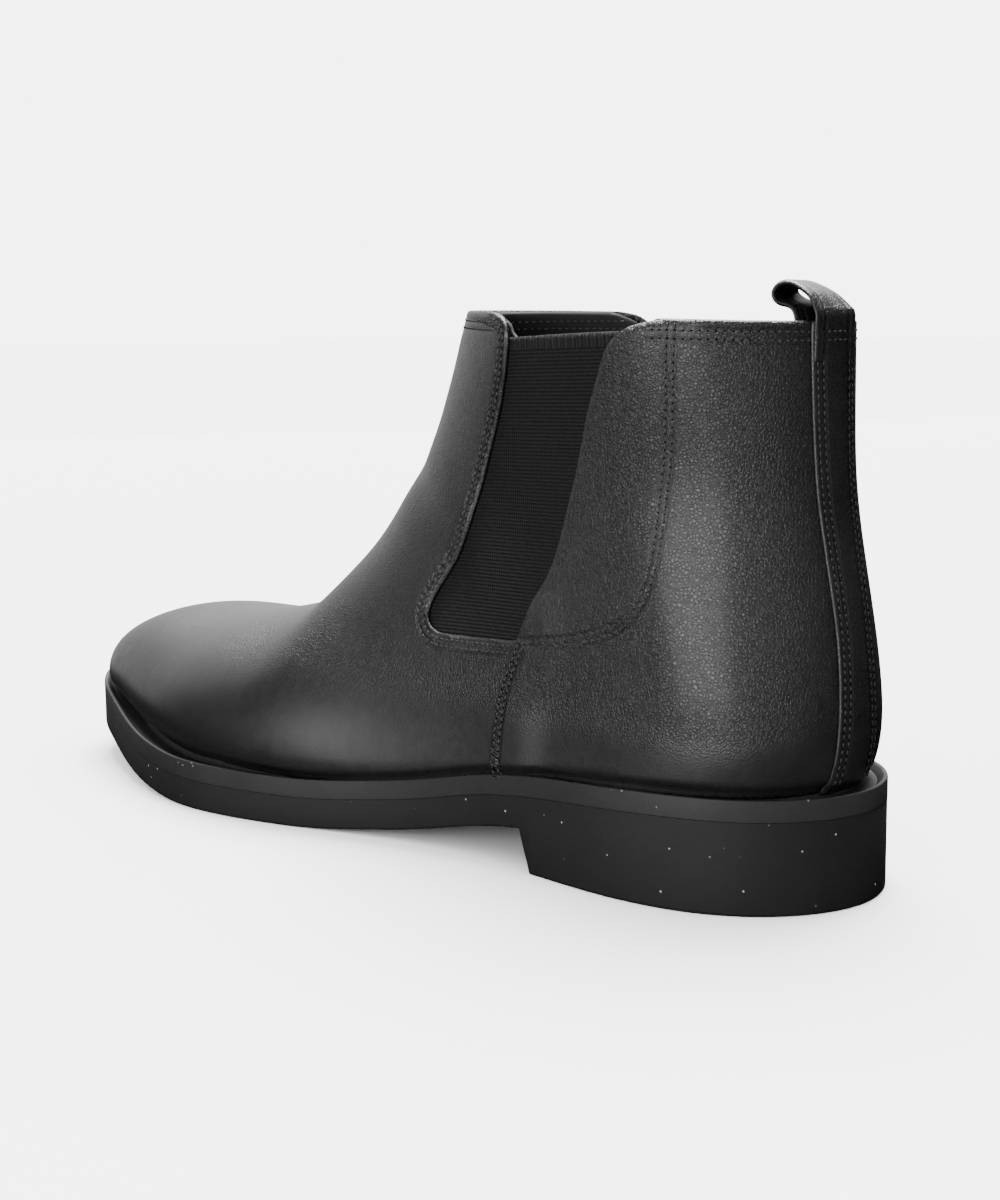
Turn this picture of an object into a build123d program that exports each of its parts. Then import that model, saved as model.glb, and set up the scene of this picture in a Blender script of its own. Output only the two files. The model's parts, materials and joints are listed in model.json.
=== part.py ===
from build123d import *
import math
import os

# Left chelsea boot. Sizes in millimetres, +Z up, toe towards -X, outer (lateral) side towards -Y.
# While it is modelled the heel's back is at x = 0 and the ground at z = 0.

# Overall sizes
LENGTH = 300.0  # outsole, heel to toe
BALL_LATERAL = 55.0  # outsole half width at the ball, outer side
BALL_MEDIAL = 50.0  # outsole half width at the ball, inner side
HEEL_LATERAL = 38.0
HEEL_MEDIAL = 37.0
TOE_OFFSET = 4.0  # the toe's point lies this far inwards of the heel's centre line
SHAFT_HEIGHT = 113.0  # heel seat to top line
HEEL_LIFT = 14.2  # rise of the sole's underside at the heel
TOE_SPRING = 11.8  # rise of the sole's underside at the toe

# Sole unit
SOLE_THICKNESS = 14.0  # underside to feather line
WELT_THICKNESS = 5.4
WELT_WIDTH = 13.0
HEEL_BREAST = 0.27  # as a share of the length, from the heel
BREAST_LEAN = 4.0
GROOVE_DEPTH = 1.6
GROOVE_WIDTH = 2.6
GROOVE_PITCH = 8.0
TREAD_RIM = 6.0  # plain rubber left round the grooves

# Insole stack, bottom up
BOARD = 2.0
FOOTBED = 3.0
SOCK = 0.8
SHANK_LENGTH = 105.0
SHANK_WIDTH = 14.0
SHANK_THICKNESS = 1.2
SHANK_REAR = 51.0  # from the heel's back to the shank's rear end
RIB_WIDTH = 3.0
RIB_HEIGHT = 0.8
RIVET_RADIUS = 2.0
RIVET_HEAD_RADIUS = 3.6
RIVET_HEAD = 0.7
RIVET_EDGE = 9.0  # rivet centre to the shank's end

# Layers of the upper, as depths below the outer face of the vamp and quarters
SKIN = 1.2
MIDDLE = 1.0
LINING = 0.9
STRAP = 1.1  # backstay and pull loop
BACKSTAY_WIDTH = 16.0

# Clearances
LAYER_GAP = 0.3  # between layers of the upper and between stacked pieces
SHANK_GAP = 0.3  # round the shank and its rivets
SEAM_GAP = 0.3  # between panels that butt in one layer
FLEX_GAP = 0.4  # between the forefoot and the rear pieces
UPPER_INSET = 2.6  # feather edge of the upper inside the sole's edge

# Where the forefoot bends up, as a share of the length from the heel
FLEX_LINE = 0.64

# Pull loop
LOOP_WIDTH = 16.0
LOOP_KNUCKLE = 1.9  # radius of the folded root
LOOP_LONG = 17.0  # root to the far end of the fold
LOOP_EYE = 6.2  # clear height inside the loop
LOOP_LEAN = 16.0  # degrees above horizontal, leaning over the mouth
TAIL_HEIGHT = 24.0

SEAT = HEEL_LIFT + SOLE_THICKNESS
TOP = SEAT + SHAFT_HEIGHT
FLEX_X = -LENGTH * FLEX_LINE
TOE_PUFF_EDGE = 0.78  # rear edge of the toe puff, as a share of the length from the heel
REACH = 90.0  # half width of every cutting tool
OUTER_SKIN = 0.0
INNER_SKIN = OUTER_SKIN + SKIN
OUTER_MIDDLE = INNER_SKIN + LAYER_GAP
INNER_MIDDLE = OUTER_MIDDLE + MIDDLE
OUTER_LINING = INNER_MIDDLE + LAYER_GAP
INNER_LINING = OUTER_LINING + LINING
FOOT = INNER_LINING + LAYER_GAP

# Underside of the sole as (share of length from the heel, height), run on past both ends
TREAD = [
    (-0.06, HEEL_LIFT),
    (0.15, HEEL_LIFT * 0.98),
    (0.30, HEEL_LIFT * 0.71),
    (0.42, HEEL_LIFT * 0.22),
    (0.54, 0.0),
    (0.66, 0.0),
    (0.76, TOE_SPRING * 0.17),
    (0.90, TOE_SPRING * 0.70),
    (1.06, TOE_SPRING * 1.28),
]


def tread_height(share):
    """Height of the sole's underside, straight between the given points."""
    for (s0, z0), (s1, z1) in zip(TREAD, TREAD[1:]):
        if share <= s1:
            return z0 + (z1 - z0) * (share - s0) / (s1 - s0)
    return TREAD[-1][1]


def low(share, height):
    """A side-view point given by its height above the feather line."""
    return (-LENGTH * share, tread_height(share) + SOLE_THICKNESS + height)


def high(share, rise):
    """A side-view point given by its share of the shaft's height above the heel seat."""
    return (-LENGTH * share, SEAT + SHAFT_HEIGHT * rise)


# The last: sections from the toe, over the instep and round to the top line. Each row is
# (ridge point, sole or back point, outer half width, inner half width, ridge offset,
#  where it is widest from the sole end, fullness above and below that against an ellipse).
TOE_TIP = low(0.99, 4.4)
DOME = 65.0  # length of the rounded toe
SECTION_POINTS = 16
B_LAT = BALL_LATERAL - UPPER_INSET
B_MED = BALL_MEDIAL - UPPER_INSET
H_LAT = HEEL_LATERAL - UPPER_INSET
H_MED = HEEL_MEDIAL - UPPER_INSET
LAST = [
    (low(0.978, 7.2), low(0.978, 1.5), 0.09 * B_LAT, 0.22 * B_MED, 4.0, 0.50, 0.12, 0.12),
    (low(0.960, 12.6), low(0.960, -3.5), 0.27 * B_LAT, 0.44 * B_MED, 4.2, 0.48, 0.12, 0.12),
    (low(0.932, 19.6), low(0.932, -9.5), 0.48 * B_LAT, 0.66 * B_MED, 4.5, 0.47, 0.12, 0.12),
    (low(0.873, 27.0), low(0.873, -12.0), 0.66 * B_LAT, 0.86 * B_MED, 4.8, 0.46, 0.12, 0.12),
    (low(0.775, 32.6), low(0.775, -12.0), 0.86 * B_LAT, 0.99 * B_MED, 4.2, 0.44, 0.09, 0.18),
    (low(0.683, 39.4), low(0.687, -12.0), 0.98 * B_LAT, 0.98 * B_MED, 3.5, 0.40, 0.0, 0.18),
    (low(0.613, 46.6), low(0.615, -12.0), 1.00 * B_LAT, 0.92 * B_MED, 3.0, 0.34, -0.12, 0.18),
    (high(0.577, 0.376), low(0.533, -12.0), 0.95 * B_LAT, 0.85 * B_MED, 2.5, 0.28, -0.17, 0.18),
    (high(0.552, 0.458), low(0.433, -12.0), 0.83 * B_LAT, 0.76 * B_MED, 2.0, 0.23, -0.16, 0.18),
    (high(0.529, 0.531), low(0.317, -13.0), 1.06 * H_LAT, 0.98 * H_MED, 1.5, 0.20, 0.0, 0.18),
    (high(0.510, 0.597), low(0.183, -14.0), 0.99 * H_LAT, 0.97 * H_MED, 1.0, 0.19, 0.12, 0.18),
    (high(0.492, 0.657), low(0.067, -14.0), 0.98 * H_LAT, 0.98 * H_MED, 0.5, 0.20, 0.12, 0.18),
    (high(0.483, 0.694), high(0.017, 0.01), 0.96 * H_LAT, 0.97 * H_MED, 0.0, 0.24, 0.12, 0.12),
    (high(0.473, 0.752), high(0.008, 0.195), 0.92 * H_LAT, 0.95 * H_MED, 0.0, 0.28, 0.06, 0.06),
    (high(0.462, 0.819), high(0.017, 0.407), 0.89 * H_LAT, 0.94 * H_MED, 0.0, 0.34, 0.0, 0.0),
    (high(0.452, 0.888), high(0.031, 0.620), 0.90 * H_LAT, 0.95 * H_MED, 0.0, 0.36, -0.08, 0.0),
    (high(0.442, 0.960), high(0.036, 0.814), 0.96 * H_LAT, 0.99 * H_MED, 0.0, 0.36, -0.16, 0.0),
    (high(0.432, 1.027), high(0.038, 0.991), 1.00 * H_LAT, 1.02 * H_MED, 0.0, 0.36, -0.2, 0.0),
    (high(0.422, 1.110), high(0.039, 1.160), 1.03 * H_LAT, 1.05 * H_MED, 0.0, 0.36, -0.2, 0.0),
]

# Side-view seams
GORE_FRONT = [high(0.300, 1.03), high(0.303, 1.0), high(0.308, 0.94), high(0.323, 0.815)]
GORE_FRONT += [high(0.340, 0.70), high(0.356, 0.58), high(0.376, 0.45), high(0.400, 0.345)]
GORE_FOOT = [high(0.402, 0.30), high(0.392, 0.275), high(0.373, 0.265)]
SEAM_HEAD = high(0.283, 0.275)
SEAM = [high(0.293, 0.213), high(0.300, 0.15), high(0.303, 0.09), high(0.305, -0.2)]
QUARTER_FRONT = [high(0.272, 0.35), high(0.255, 0.43), high(0.238, 0.55), high(0.223, 0.67)]
QUARTER_FRONT += [high(0.204, 0.80), high(0.186, 0.88), high(0.174, 0.94), high(0.160, 0.99)]
QUARTER_FRONT += [high(0.130, 1.05)]
GORE_TOP = [high(0.330, 0.955), high(0.110, 0.975)]
GORE_BACK = [high(0.113, 0.73), high(0.122, 0.51), high(0.145, 0.36), high(0.190, 0.285)]
GORE_LOWER = [high(0.277, 0.235), high(0.385, 0.225), high(0.418, 0.28), high(0.417, 0.36)]
GORE_UNDER_VAMP = [high(0.392, 0.47), high(0.373, 0.59), high(0.358, 0.71), high(0.340, 0.83)]
COUNTER_TOP = [high(0.005, 0.46), high(0.10, 0.42), high(0.20, 0.24), high(0.25, 0.03)]


def last_section(row, depth):
    """One closed section of the last, moved inwards by depth."""
    (xa, za), (xb, zb), lateral, medial, ridge_y, widest, above, below = row
    forward = max(0.0, 1.0 - (xa - TOE_TIP[0]) / DOME)
    across = math.sqrt(1.0 - forward**2)
    span = math.hypot(xa - xb, za - zb)
    ux = (xa - xb) / span
    uz = (za - zb) / span
    inset = depth * across
    xa += depth * forward - inset * ux
    xb += depth * forward + inset * ux
    za -= inset * uz
    zb += inset * uz
    centre_y = (medial - lateral) / 2
    half = (medial + lateral) / 2 - inset
    cx = xb + (xa - xb) * widest
    cz = zb + (za - zb) * widest
    points = []
    for step in range(SECTION_POINTS):
        angle = math.tau * step / SECTION_POINTS
        c = math.cos(angle)
        ex, ez, full = (xa - cx, za - cz, above) if c > 0 else (xb - cx, zb - cz, below)
        y = centre_y - math.sin(angle) * half * (1 + full * c * c)
        y += (ridge_y - centre_y) * max(c, 0.0) ** 2
        points.append((cx + ex * abs(c), y, cz + ez * abs(c)))
    return Wire([Spline(*points, periodic=True)])


def last_solid(depth):
    """The whole last at one depth, running on below the feather line and above the top."""
    tip = Vertex(TOE_TIP[0] + depth, TOE_OFFSET, TOE_TIP[1])
    return Solid.make_loft([tip] + [last_section(row, depth) for row in LAST])


def tread_line(height):
    """The underside's side-view line, lifted by height, from past the heel to past the toe."""
    points = [(-LENGTH * share, z + height) for share, z in TREAD]
    flat_from, flat_to = points[4:6]
    heel = Spline(*points[:5], tangents=[(-1, 0), (-1, 0)])
    slope = (points[-1][0] - points[-2][0], points[-1][1] - points[-2][1])
    toe = Spline(*points[5:], tangents=[(-1, 0), slope])
    return [heel, Line(flat_from, flat_to), toe]


def across_block(edges, side=0):
    """A closed side-view outline, extruded across the boot: both sides, -1 outer or 1 inner."""
    face = Plane.XZ * make_face(Wire(edges))
    if side == 0:
        return extrude(face, amount=REACH, both=True)
    return extrude(face, amount=-side * REACH)


def slab(bottom, top):
    """The space between two heights above the sole's underside."""
    lower = tread_line(bottom)
    upper = tread_line(top)
    heel_end = Line(lower[0] @ 0, upper[0] @ 0)
    toe_end = Line(lower[-1] @ 1, upper[-1] @ 1)
    return across_block(lower + upper + [heel_end, toe_end])


def outline_points():
    """The sole's outline in plan: heel, outer side, toe and back along the inner side."""
    heel = [(0.02, 0.50), (0.06, 0.80), (0.15, 1.0)]
    lateral = [(0.28, 0.66), (0.42, 0.70), (0.55, 0.91), (0.65, 1.0)]
    lateral += [(0.78, 0.873), (0.88, 0.645), (0.95, 0.43)]
    medial = [(0.28, 0.68), (0.42, 0.65), (0.55, 0.77), (0.65, 0.95)]
    medial += [(0.78, 1.0), (0.88, 0.85), (0.95, 0.62)]
    near = [(-LENGTH * s, -HEEL_LATERAL * w) for s, w in heel]
    near += [(-LENGTH * s, -BALL_LATERAL * w) for s, w in lateral]
    far = [(-LENGTH * s, HEEL_MEDIAL * w) for s, w in heel]
    far += [(-LENGTH * s, BALL_MEDIAL * w) for s, w in medial]
    return [(0, 0)] + near + [(-LENGTH, TOE_OFFSET)] + far[::-1]


def outline_face(inset=0.0):
    """The sole's outline, each point moved inwards square to its neighbours."""
    points = outline_points()
    moved = []
    for i, (x, y) in enumerate(points):
        before = points[i - 1]
        after = points[(i + 1) % len(points)]
        run = math.hypot(after[0] - before[0], after[1] - before[1])
        inward_x = -(after[1] - before[1]) / run
        inward_y = (after[0] - before[0]) / run
        moved.append((x - inset * inward_x, y - inset * inward_y))
    return make_face(Spline(*moved, periodic=True))


def plan_block(inset=0.0):
    """The sole's outline extruded over the whole height of the sole."""
    return Pos(0, 0, -10) * extrude(outline_face(inset), amount=SEAT + 60)


def polygon(points):
    """Straight side-view edges round a closed list of points."""
    return [Line(a, b) for a, b in zip(points, points[1:] + points[:1])]


def in_front(gap):
    """Everything ahead of the flex line, less a gap."""
    edge = FLEX_X - gap
    return Pos(edge - LENGTH / 2, 0, TOP / 2) * Box(LENGTH, 2 * REACH, 2 * TOP)


def behind(gap):
    """Everything behind the flex line, less a gap."""
    edge = FLEX_X + gap
    return Pos(edge + LENGTH / 2, 0, TOP / 2) * Box(LENGTH, 2 * REACH, 2 * TOP)


def flexed(name, solid):
    """The piece parted at the flex line into its rear and its forefoot node."""
    half = FLEX_GAP / 2
    return {name + "_rear": solid & behind(half), name + "_forefoot": solid & in_front(half)}


def top_height(x):
    """The top line, which rises a little from the back towards the instep."""
    return TOP - 1.1 - 0.026 * x


def upper_space():
    """From the feather line to the top line."""
    lower = tread_line(SOLE_THICKNESS + LAYER_GAP)
    heel_end = lower[0] @ 0
    toe_end = lower[-1] @ 1
    heel_top = (heel_end.X, top_height(heel_end.X))
    toe_top = (toe_end.X, top_height(toe_end.X))
    ends = [Line(heel_end, heel_top), Line(heel_top, toe_top), Line(toe_top, toe_end)]
    return across_block(lower + ends)


def vamp_edges():
    """Side-view outline of the vamp, along the gore and down the seam."""
    front = Spline(*GORE_FRONT)
    foot = Spline(GORE_FRONT[-1], *GORE_FOOT)
    base = Line(GORE_FOOT[-1], SEAM_HEAD)
    seam = Spline(SEAM_HEAD, *SEAM)
    corner = high(1.2, -0.4)
    above = high(1.2, 1.1)
    ends = [Line(SEAM[-1], corner), Line(corner, above), Line(above, GORE_FRONT[0])]
    return [front, foot, base, seam] + ends


def quarter_edges():
    """Side-view outline of a quarter: the seam, its free front edge and round the back."""
    shift = SEAM_GAP / LENGTH
    head = (SEAM_HEAD[0] + SEAM_GAP, SEAM_HEAD[1])
    seam_points = [(x + SEAM_GAP, z) for x, z in SEAM]
    seam = Spline(head, *seam_points)
    front = Spline(head, *QUARTER_FRONT)
    corner = high(-0.05 - shift, -0.4)
    above = high(-0.05 - shift, 1.1)
    ends = [Line(seam_points[-1], corner), Line(corner, above), Line(above, QUARTER_FRONT[-1])]
    return [seam, front] + ends


def gore_block(side):
    """The whole elastic panel, with what lies hidden under the vamp and the quarter."""
    return across_block(polygon(GORE_TOP + GORE_BACK + GORE_LOWER + GORE_UNDER_VAMP), side)


def counter_edges():
    """Side-view outline of the heel counter, which cups the heel."""
    return polygon(COUNTER_TOP + [high(0.27, -0.4), high(-0.08, -0.4), high(-0.08, 0.47)])


def build_sole():
    """Moulded sole unit with its heel, the welt round its edge and the cork filler inside."""
    breast_x = -LENGTH * HEEL_BREAST
    heel_foot = Pos(breast_x / 2 + 10, 0, SEAT / 2)
    sole_space = slab(0, SOLE_THICKNESS - WELT_THICKNESS - LAYER_GAP)
    heel_points = [(20, 0), (breast_x + BREAST_LEAN, 0), (breast_x, SEAT - WELT_THICKNESS), (20, SEAT)]
    heel_space = across_block(polygon(heel_points)) & (heel_foot * Box(-breast_x + 40, 200, 2 * SEAT))
    under_welt = slab(-2 * SEAT, SOLE_THICKNESS - WELT_THICKNESS - LAYER_GAP)
    unit = (sole_space + (heel_space & under_welt)) & plan_block()
    inside_rim = plan_block(TREAD_RIM)
    grooves = []
    for share_from, share_to, on_ground in ((0.03, 0.25, True), (0.46, 0.90, False)):
        count = int(LENGTH * (share_to - share_from) / GROOVE_PITCH)
        for i in range(count + 1):
            share = share_from + i * GROOVE_PITCH / LENGTH
            z = 0.0 if on_ground else tread_height(share)
            cut = Box(GROOVE_WIDTH, 2 * REACH, 2 * GROOVE_DEPTH)
            grooves.append(Pos(-LENGTH * share, 0, z) * cut & inside_rim)
    unit = unit - grooves
    band = slab(SOLE_THICKNESS - WELT_THICKNESS, SOLE_THICKNESS)
    welt = (plan_block() - plan_block(WELT_WIDTH)) & band
    filler = plan_block(WELT_WIDTH + SEAM_GAP) & band
    return unit, welt, filler


def bar(length, width, gap=0.0):
    """A round-ended upright bar over the shank's place, grown by a gap."""
    centre = -SHANK_REAR - SHANK_LENGTH / 2
    plan = SlotOverall(length + 2 * gap, width + 2 * gap)
    return Pos(centre, 0, 0) * extrude(plan, amount=2 * SEAT)


def rivet_posts(radius):
    """Upright posts at the two rivet places."""
    reach = SHANK_LENGTH / 2 - RIVET_EDGE
    centre = -SHANK_REAR - SHANK_LENGTH / 2
    post = Cylinder(radius, 4 * SEAT)
    return [Pos(centre + side * reach, 0, 0) * post for side in (-1, 1)]


def build_shank(filler):
    """Steel shank bent to the sole, let into the filler, with a rivet near each end."""
    base = SOLE_THICKNESS - WELT_THICKNESS + 1.4
    top = base + SHANK_THICKNESS
    rib_length = SHANK_LENGTH * 0.7
    shank = bar(SHANK_LENGTH, SHANK_WIDTH) & slab(base, top)
    shank = shank + (bar(rib_length, RIB_WIDTH) & slab(top - 0.2, top + RIB_HEIGHT))
    shank = shank - rivet_posts(RIVET_RADIUS + LAYER_GAP / 2)
    bed = bar(SHANK_LENGTH, SHANK_WIDTH, SHANK_GAP) & slab(base - SHANK_GAP, top + SHANK_GAP)
    rib_bed = bar(rib_length, RIB_WIDTH, SHANK_GAP) & slab(top, top + RIB_HEIGHT + SHANK_GAP)
    filler = filler - bed - rib_bed
    under = base - 0.1
    over = top + 0.1
    rivets = []
    body = slab(under - 0.1, over + 0.1)
    heads = slab(under - RIVET_HEAD, under), slab(over, over + RIVET_HEAD)
    well = slab(under - RIVET_HEAD - SHANK_GAP, over + RIVET_HEAD + SHANK_GAP)
    posts = zip(rivet_posts(RIVET_RADIUS), rivet_posts(RIVET_HEAD_RADIUS))
    for post, head in posts:
        rivets.append((post & body) + (head & heads[0]) + (head & heads[1]))
    for hole in rivet_posts(RIVET_HEAD_RADIUS + SHANK_GAP):
        filler = filler - (hole & well)
    return shank, Compound([solid for rivet in rivets for solid in rivet.solids()]), filler


def build_insole(foot):
    """Insole board, foam footbed and leather sock, cut from the space inside the lining."""
    floor = SOLE_THICKNESS + LAYER_GAP
    board = foot & slab(floor, floor + BOARD)
    floor += BOARD + LAYER_GAP
    footbed = foot & slab(floor, floor + FOOTBED)
    floor += FOOTBED + LAYER_GAP
    sock = foot & slab(floor, floor + SOCK)
    return board, footbed, sock


def build_upper(space):
    """Vamp, quarters, elastic gores and the stiffeners between them and the lining."""
    skin = (last_solid(OUTER_SKIN) - last_solid(INNER_SKIN)) & space
    middle = (last_solid(OUTER_MIDDLE) - last_solid(INNER_MIDDLE)) & space
    pieces = flexed("vamp", skin & across_block(vamp_edges()))
    quarters = skin & across_block(quarter_edges())
    for side, name in ((-1, "lateral"), (1, "medial")):
        half = Pos(0, side * (REACH + SEAM_GAP) / 2, TOP / 2) * Box(3 * LENGTH, REACH, 3 * TOP)
        pieces["quarter_" + name] = quarters & half
        pieces["gore_" + name] = middle & gore_block(side)
    pieces["heel_counter"] = middle & across_block(counter_edges())
    tail_top = high(0.0, 1.0)[1]
    tail = Pos(0, 0, tail_top - TAIL_HEIGHT / 2) * Box(60, LOOP_WIDTH, TAIL_HEIGHT)
    pieces["pull_loop_tail"] = middle & tail
    puff_x = -LENGTH * TOE_PUFF_EDGE
    toe_part = Pos(puff_x - LENGTH / 2, 0, TOP / 2) * Box(LENGTH, 2 * REACH, 2 * TOP)
    pieces["toe_puff"] = middle & toe_part
    return pieces


def build_lining(space):
    """Vamp lining and quarter lining, which meet under the gores."""
    shell = (last_solid(OUTER_LINING) - last_solid(INNER_LINING)) & space
    lean = [high(0.27, 1.2), high(0.32, -0.5), high(1.3, -0.5), high(1.3, 1.2)]
    ahead = across_block(polygon(lean))
    grown = [(x + SEAM_GAP, z) if i < 2 else (x, z) for i, (x, z) in enumerate(lean)]
    pieces = flexed("vamp_lining", shell & ahead)
    pieces["quarter_lining"] = shell - across_block(polygon(grown))
    return pieces


def build_backstay(space):
    """Leather strip down the back seam, outside the quarters."""
    shell = (last_solid(-LAYER_GAP - STRAP) - last_solid(-LAYER_GAP)) & space
    top = BACKSTAY_WIDTH / 2
    waist = top * 0.82
    points = [(-top, TOP + 20), (-waist, SEAT + 40), (-top, SEAT - 30)]
    points += [(top, SEAT - 30), (waist, SEAT + 40), (top, TOP + 20)]
    face = Plane.YZ * make_face(Wire(polygon(points)))
    return shell & Pos(-LENGTH * 0.15, 0, 0) * extrude(face, amount=LENGTH * 0.2)


def loop_axis():
    """Side-view point that the pull loop turns about, just above the back of the top line."""
    x = high(0.038, 1.0)[0] - INNER_MIDDLE
    return (x, top_height(x) + LOOP_KNUCKLE + SEAM_GAP + 0.1)


def build_pull_loop():
    """Folded strap: a round root, a teardrop eye and a rounded far end."""
    end_radius = LOOP_EYE / 2 + STRAP
    reach = LOOP_LONG - end_radius
    outer = make_hull([*Circle(LOOP_KNUCKLE).edges(), *(Pos(reach, 0) * Circle(end_radius)).edges()])
    eye_end = Pos(reach, 0) * Circle(LOOP_EYE / 2)
    eye_root = Pos(LOOP_KNUCKLE + LOOP_EYE / 2, 0) * Circle(0.8)
    eye = make_hull([*eye_root.edges(), *eye_end.edges()])
    x, z = loop_axis()
    profile = Plane.XZ * (Pos(x, z) * Rot(0, 0, 180 - LOOP_LEAN) * (outer - eye))
    return extrude(profile, amount=LOOP_WIDTH / 2, both=True)


def build_boot():
    """Every piece of the boot by node name."""
    space = upper_space()
    unit, welt, filler = build_sole()
    shank, rivets, filler = build_shank(filler)
    board, footbed, sock = build_insole(last_solid(FOOT))
    pieces = {"shank": shank, "shank_rivets": rivets}
    for name, solid in (("outsole", unit), ("welt", welt), ("bottom_filler", filler)):
        pieces.update(flexed(name, solid))
    for name, solid in (("insole_board", board), ("footbed", footbed), ("sock_liner", sock)):
        pieces.update(flexed(name, solid))
    pieces.update(build_upper(space))
    pieces.update(build_lining(space))
    pieces["backstay"] = build_backstay(space)
    pieces["pull_loop"] = build_pull_loop()
    return pieces


os.makedirs("parts", exist_ok=True)
boot = build_boot()
box = outline_face().bounding_box()
centring = Pos(-box.center().X, -box.center().Y, 0)
for node, shape in boot.items():
    export_step(centring * shape, os.path.join("parts", node + ".step"))
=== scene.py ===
import json
import math

import bmesh
import bpy
import numpy as np
from mathutils import Matrix, Vector


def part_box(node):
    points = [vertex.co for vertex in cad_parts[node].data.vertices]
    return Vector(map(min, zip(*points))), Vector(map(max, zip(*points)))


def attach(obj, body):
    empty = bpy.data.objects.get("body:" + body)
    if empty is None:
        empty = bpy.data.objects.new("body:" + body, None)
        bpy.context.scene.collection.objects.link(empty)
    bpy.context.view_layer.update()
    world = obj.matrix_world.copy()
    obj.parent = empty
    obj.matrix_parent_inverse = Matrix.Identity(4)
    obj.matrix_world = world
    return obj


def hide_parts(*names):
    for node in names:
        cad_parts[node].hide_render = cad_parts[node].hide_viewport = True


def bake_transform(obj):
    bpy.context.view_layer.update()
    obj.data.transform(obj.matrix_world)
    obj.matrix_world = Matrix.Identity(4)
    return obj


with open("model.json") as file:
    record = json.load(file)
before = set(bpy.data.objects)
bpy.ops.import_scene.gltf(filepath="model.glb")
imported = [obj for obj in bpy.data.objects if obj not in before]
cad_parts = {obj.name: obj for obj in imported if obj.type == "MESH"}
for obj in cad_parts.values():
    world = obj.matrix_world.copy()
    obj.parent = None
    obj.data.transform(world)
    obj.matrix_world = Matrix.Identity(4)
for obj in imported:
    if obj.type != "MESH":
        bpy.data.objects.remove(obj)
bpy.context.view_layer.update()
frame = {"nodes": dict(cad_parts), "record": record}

# ---- Vamp
# One piece of smooth black calf over the toe and instep, pulled over the last and
# closed under it. Its rear edge is turned over and double stitched along the gores,
# and its lower rear edge runs under the quarters.
MM = 0.001
HEEL_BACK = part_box("outsole_rear")[1].x
LENGTH = HEEL_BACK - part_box("outsole_forefoot")[0].x
MIDDLE_Y = (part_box("shank")[0].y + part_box("shank")[1].y) / 2
SOLE = 14.0 * MM
HEEL_LIFT = 14.2 * MM
TOE_SPRING = 11.8 * MM
SEAT = HEEL_LIFT + SOLE
SHAFT = 113.0 * MM
TOP_DROP = 1.1 * MM
TOP_RISE = 0.026
LATERAL_BALL = 52.4 * MM
MEDIAL_BALL = 47.4 * MM
LATERAL_HEEL = 35.4 * MM
MEDIAL_HEEL = 34.4 * MM

TREAD = [(-0.06, 1.0), (0.15, 0.98), (0.30, 0.71), (0.42, 0.22), (0.54, 0.0)]
TREAD_TOE = [(0.66, 0.0), (0.76, 0.17), (0.90, 0.70), (1.06, 1.28)]


def curve_through(knots, values, at):
    """Natural cubic spline through rows of values, as the last's sections are joined."""
    knots, values, at = (np.asarray(a, float) for a in (knots, values, at))
    count = len(knots)
    step = np.diff(knots)
    matrix = np.eye(count)
    right = np.zeros_like(values)
    slope = np.diff(values, axis=0) / step[:, None]
    for i in range(1, count - 1):
        matrix[i, i - 1:i + 2] = step[i - 1], 2 * (step[i - 1] + step[i]), step[i]
        right[i] = 6 * (slope[i] - slope[i - 1])
    bend = np.linalg.solve(matrix, right)
    k = np.clip(np.searchsorted(knots, at) - 1, 0, count - 2)
    h = step[k][:, None]
    t = (at - knots[k])[:, None]
    cubic = (bend[k] * (h - t) ** 3 + bend[k + 1] * t ** 3) / (6 * h)
    line = (values[k] / h - bend[k] * h / 6) * (h - t) + (values[k + 1] / h - bend[k + 1] * h / 6) * t
    return cubic + line


def eased(points, at):
    """Smooth height through (share, height) points that starts and ends level or straight."""
    x, y = np.array(points).T
    tangent = np.gradient(y, x)
    tangent[0] = 0.0
    tangent[np.argmin(y)] = 0.0
    k = np.clip(np.searchsorted(x, at) - 1, 0, len(x) - 2)
    h = x[k + 1] - x[k]
    t = np.clip((at - x[k]) / h, 0, 1)
    a = (1 + 2 * t) * (1 - t) ** 2 * y[k] + t ** 2 * (3 - 2 * t) * y[k + 1]
    return a + h * (t * (1 - t) ** 2 * tangent[k] - t ** 2 * (1 - t) * tangent[k + 1])


def tread(x):
    """Height of the sole's underside at x."""
    share = (HEEL_BACK - np.asarray(x, float)) / LENGTH
    rear = eased(TREAD, np.clip(share, -0.06, 0.54)) * HEEL_LIFT
    toe = eased(TREAD_TOE, np.clip(share, 0.66, 1.06)) * TOE_SPRING
    return np.where(share < 0.6, rear, toe)


def top_line(z_shift=0.0):
    """Slope of the top line: its height at x is SEAT + SHAFT less a drop, rising to the front."""
    return lambda x: SEAT + SHAFT - TOP_DROP + TOP_RISE * (HEEL_BACK - x) + z_shift


def low(share, height):
    """Side-view point at a share of the length from the heel, a height in mm above the sole."""
    base = np.interp(share, [s for s, _ in TREAD + TREAD_TOE],
                     [h * HEEL_LIFT for _, h in TREAD] + [h * TOE_SPRING for _, h in TREAD_TOE])
    return HEEL_BACK - LENGTH * share, base + SOLE + height * MM


def high(share, rise):
    """Side-view point at a share of the length and a share of the shaft's height."""
    return HEEL_BACK - LENGTH * share, SEAT + SHAFT * rise


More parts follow.
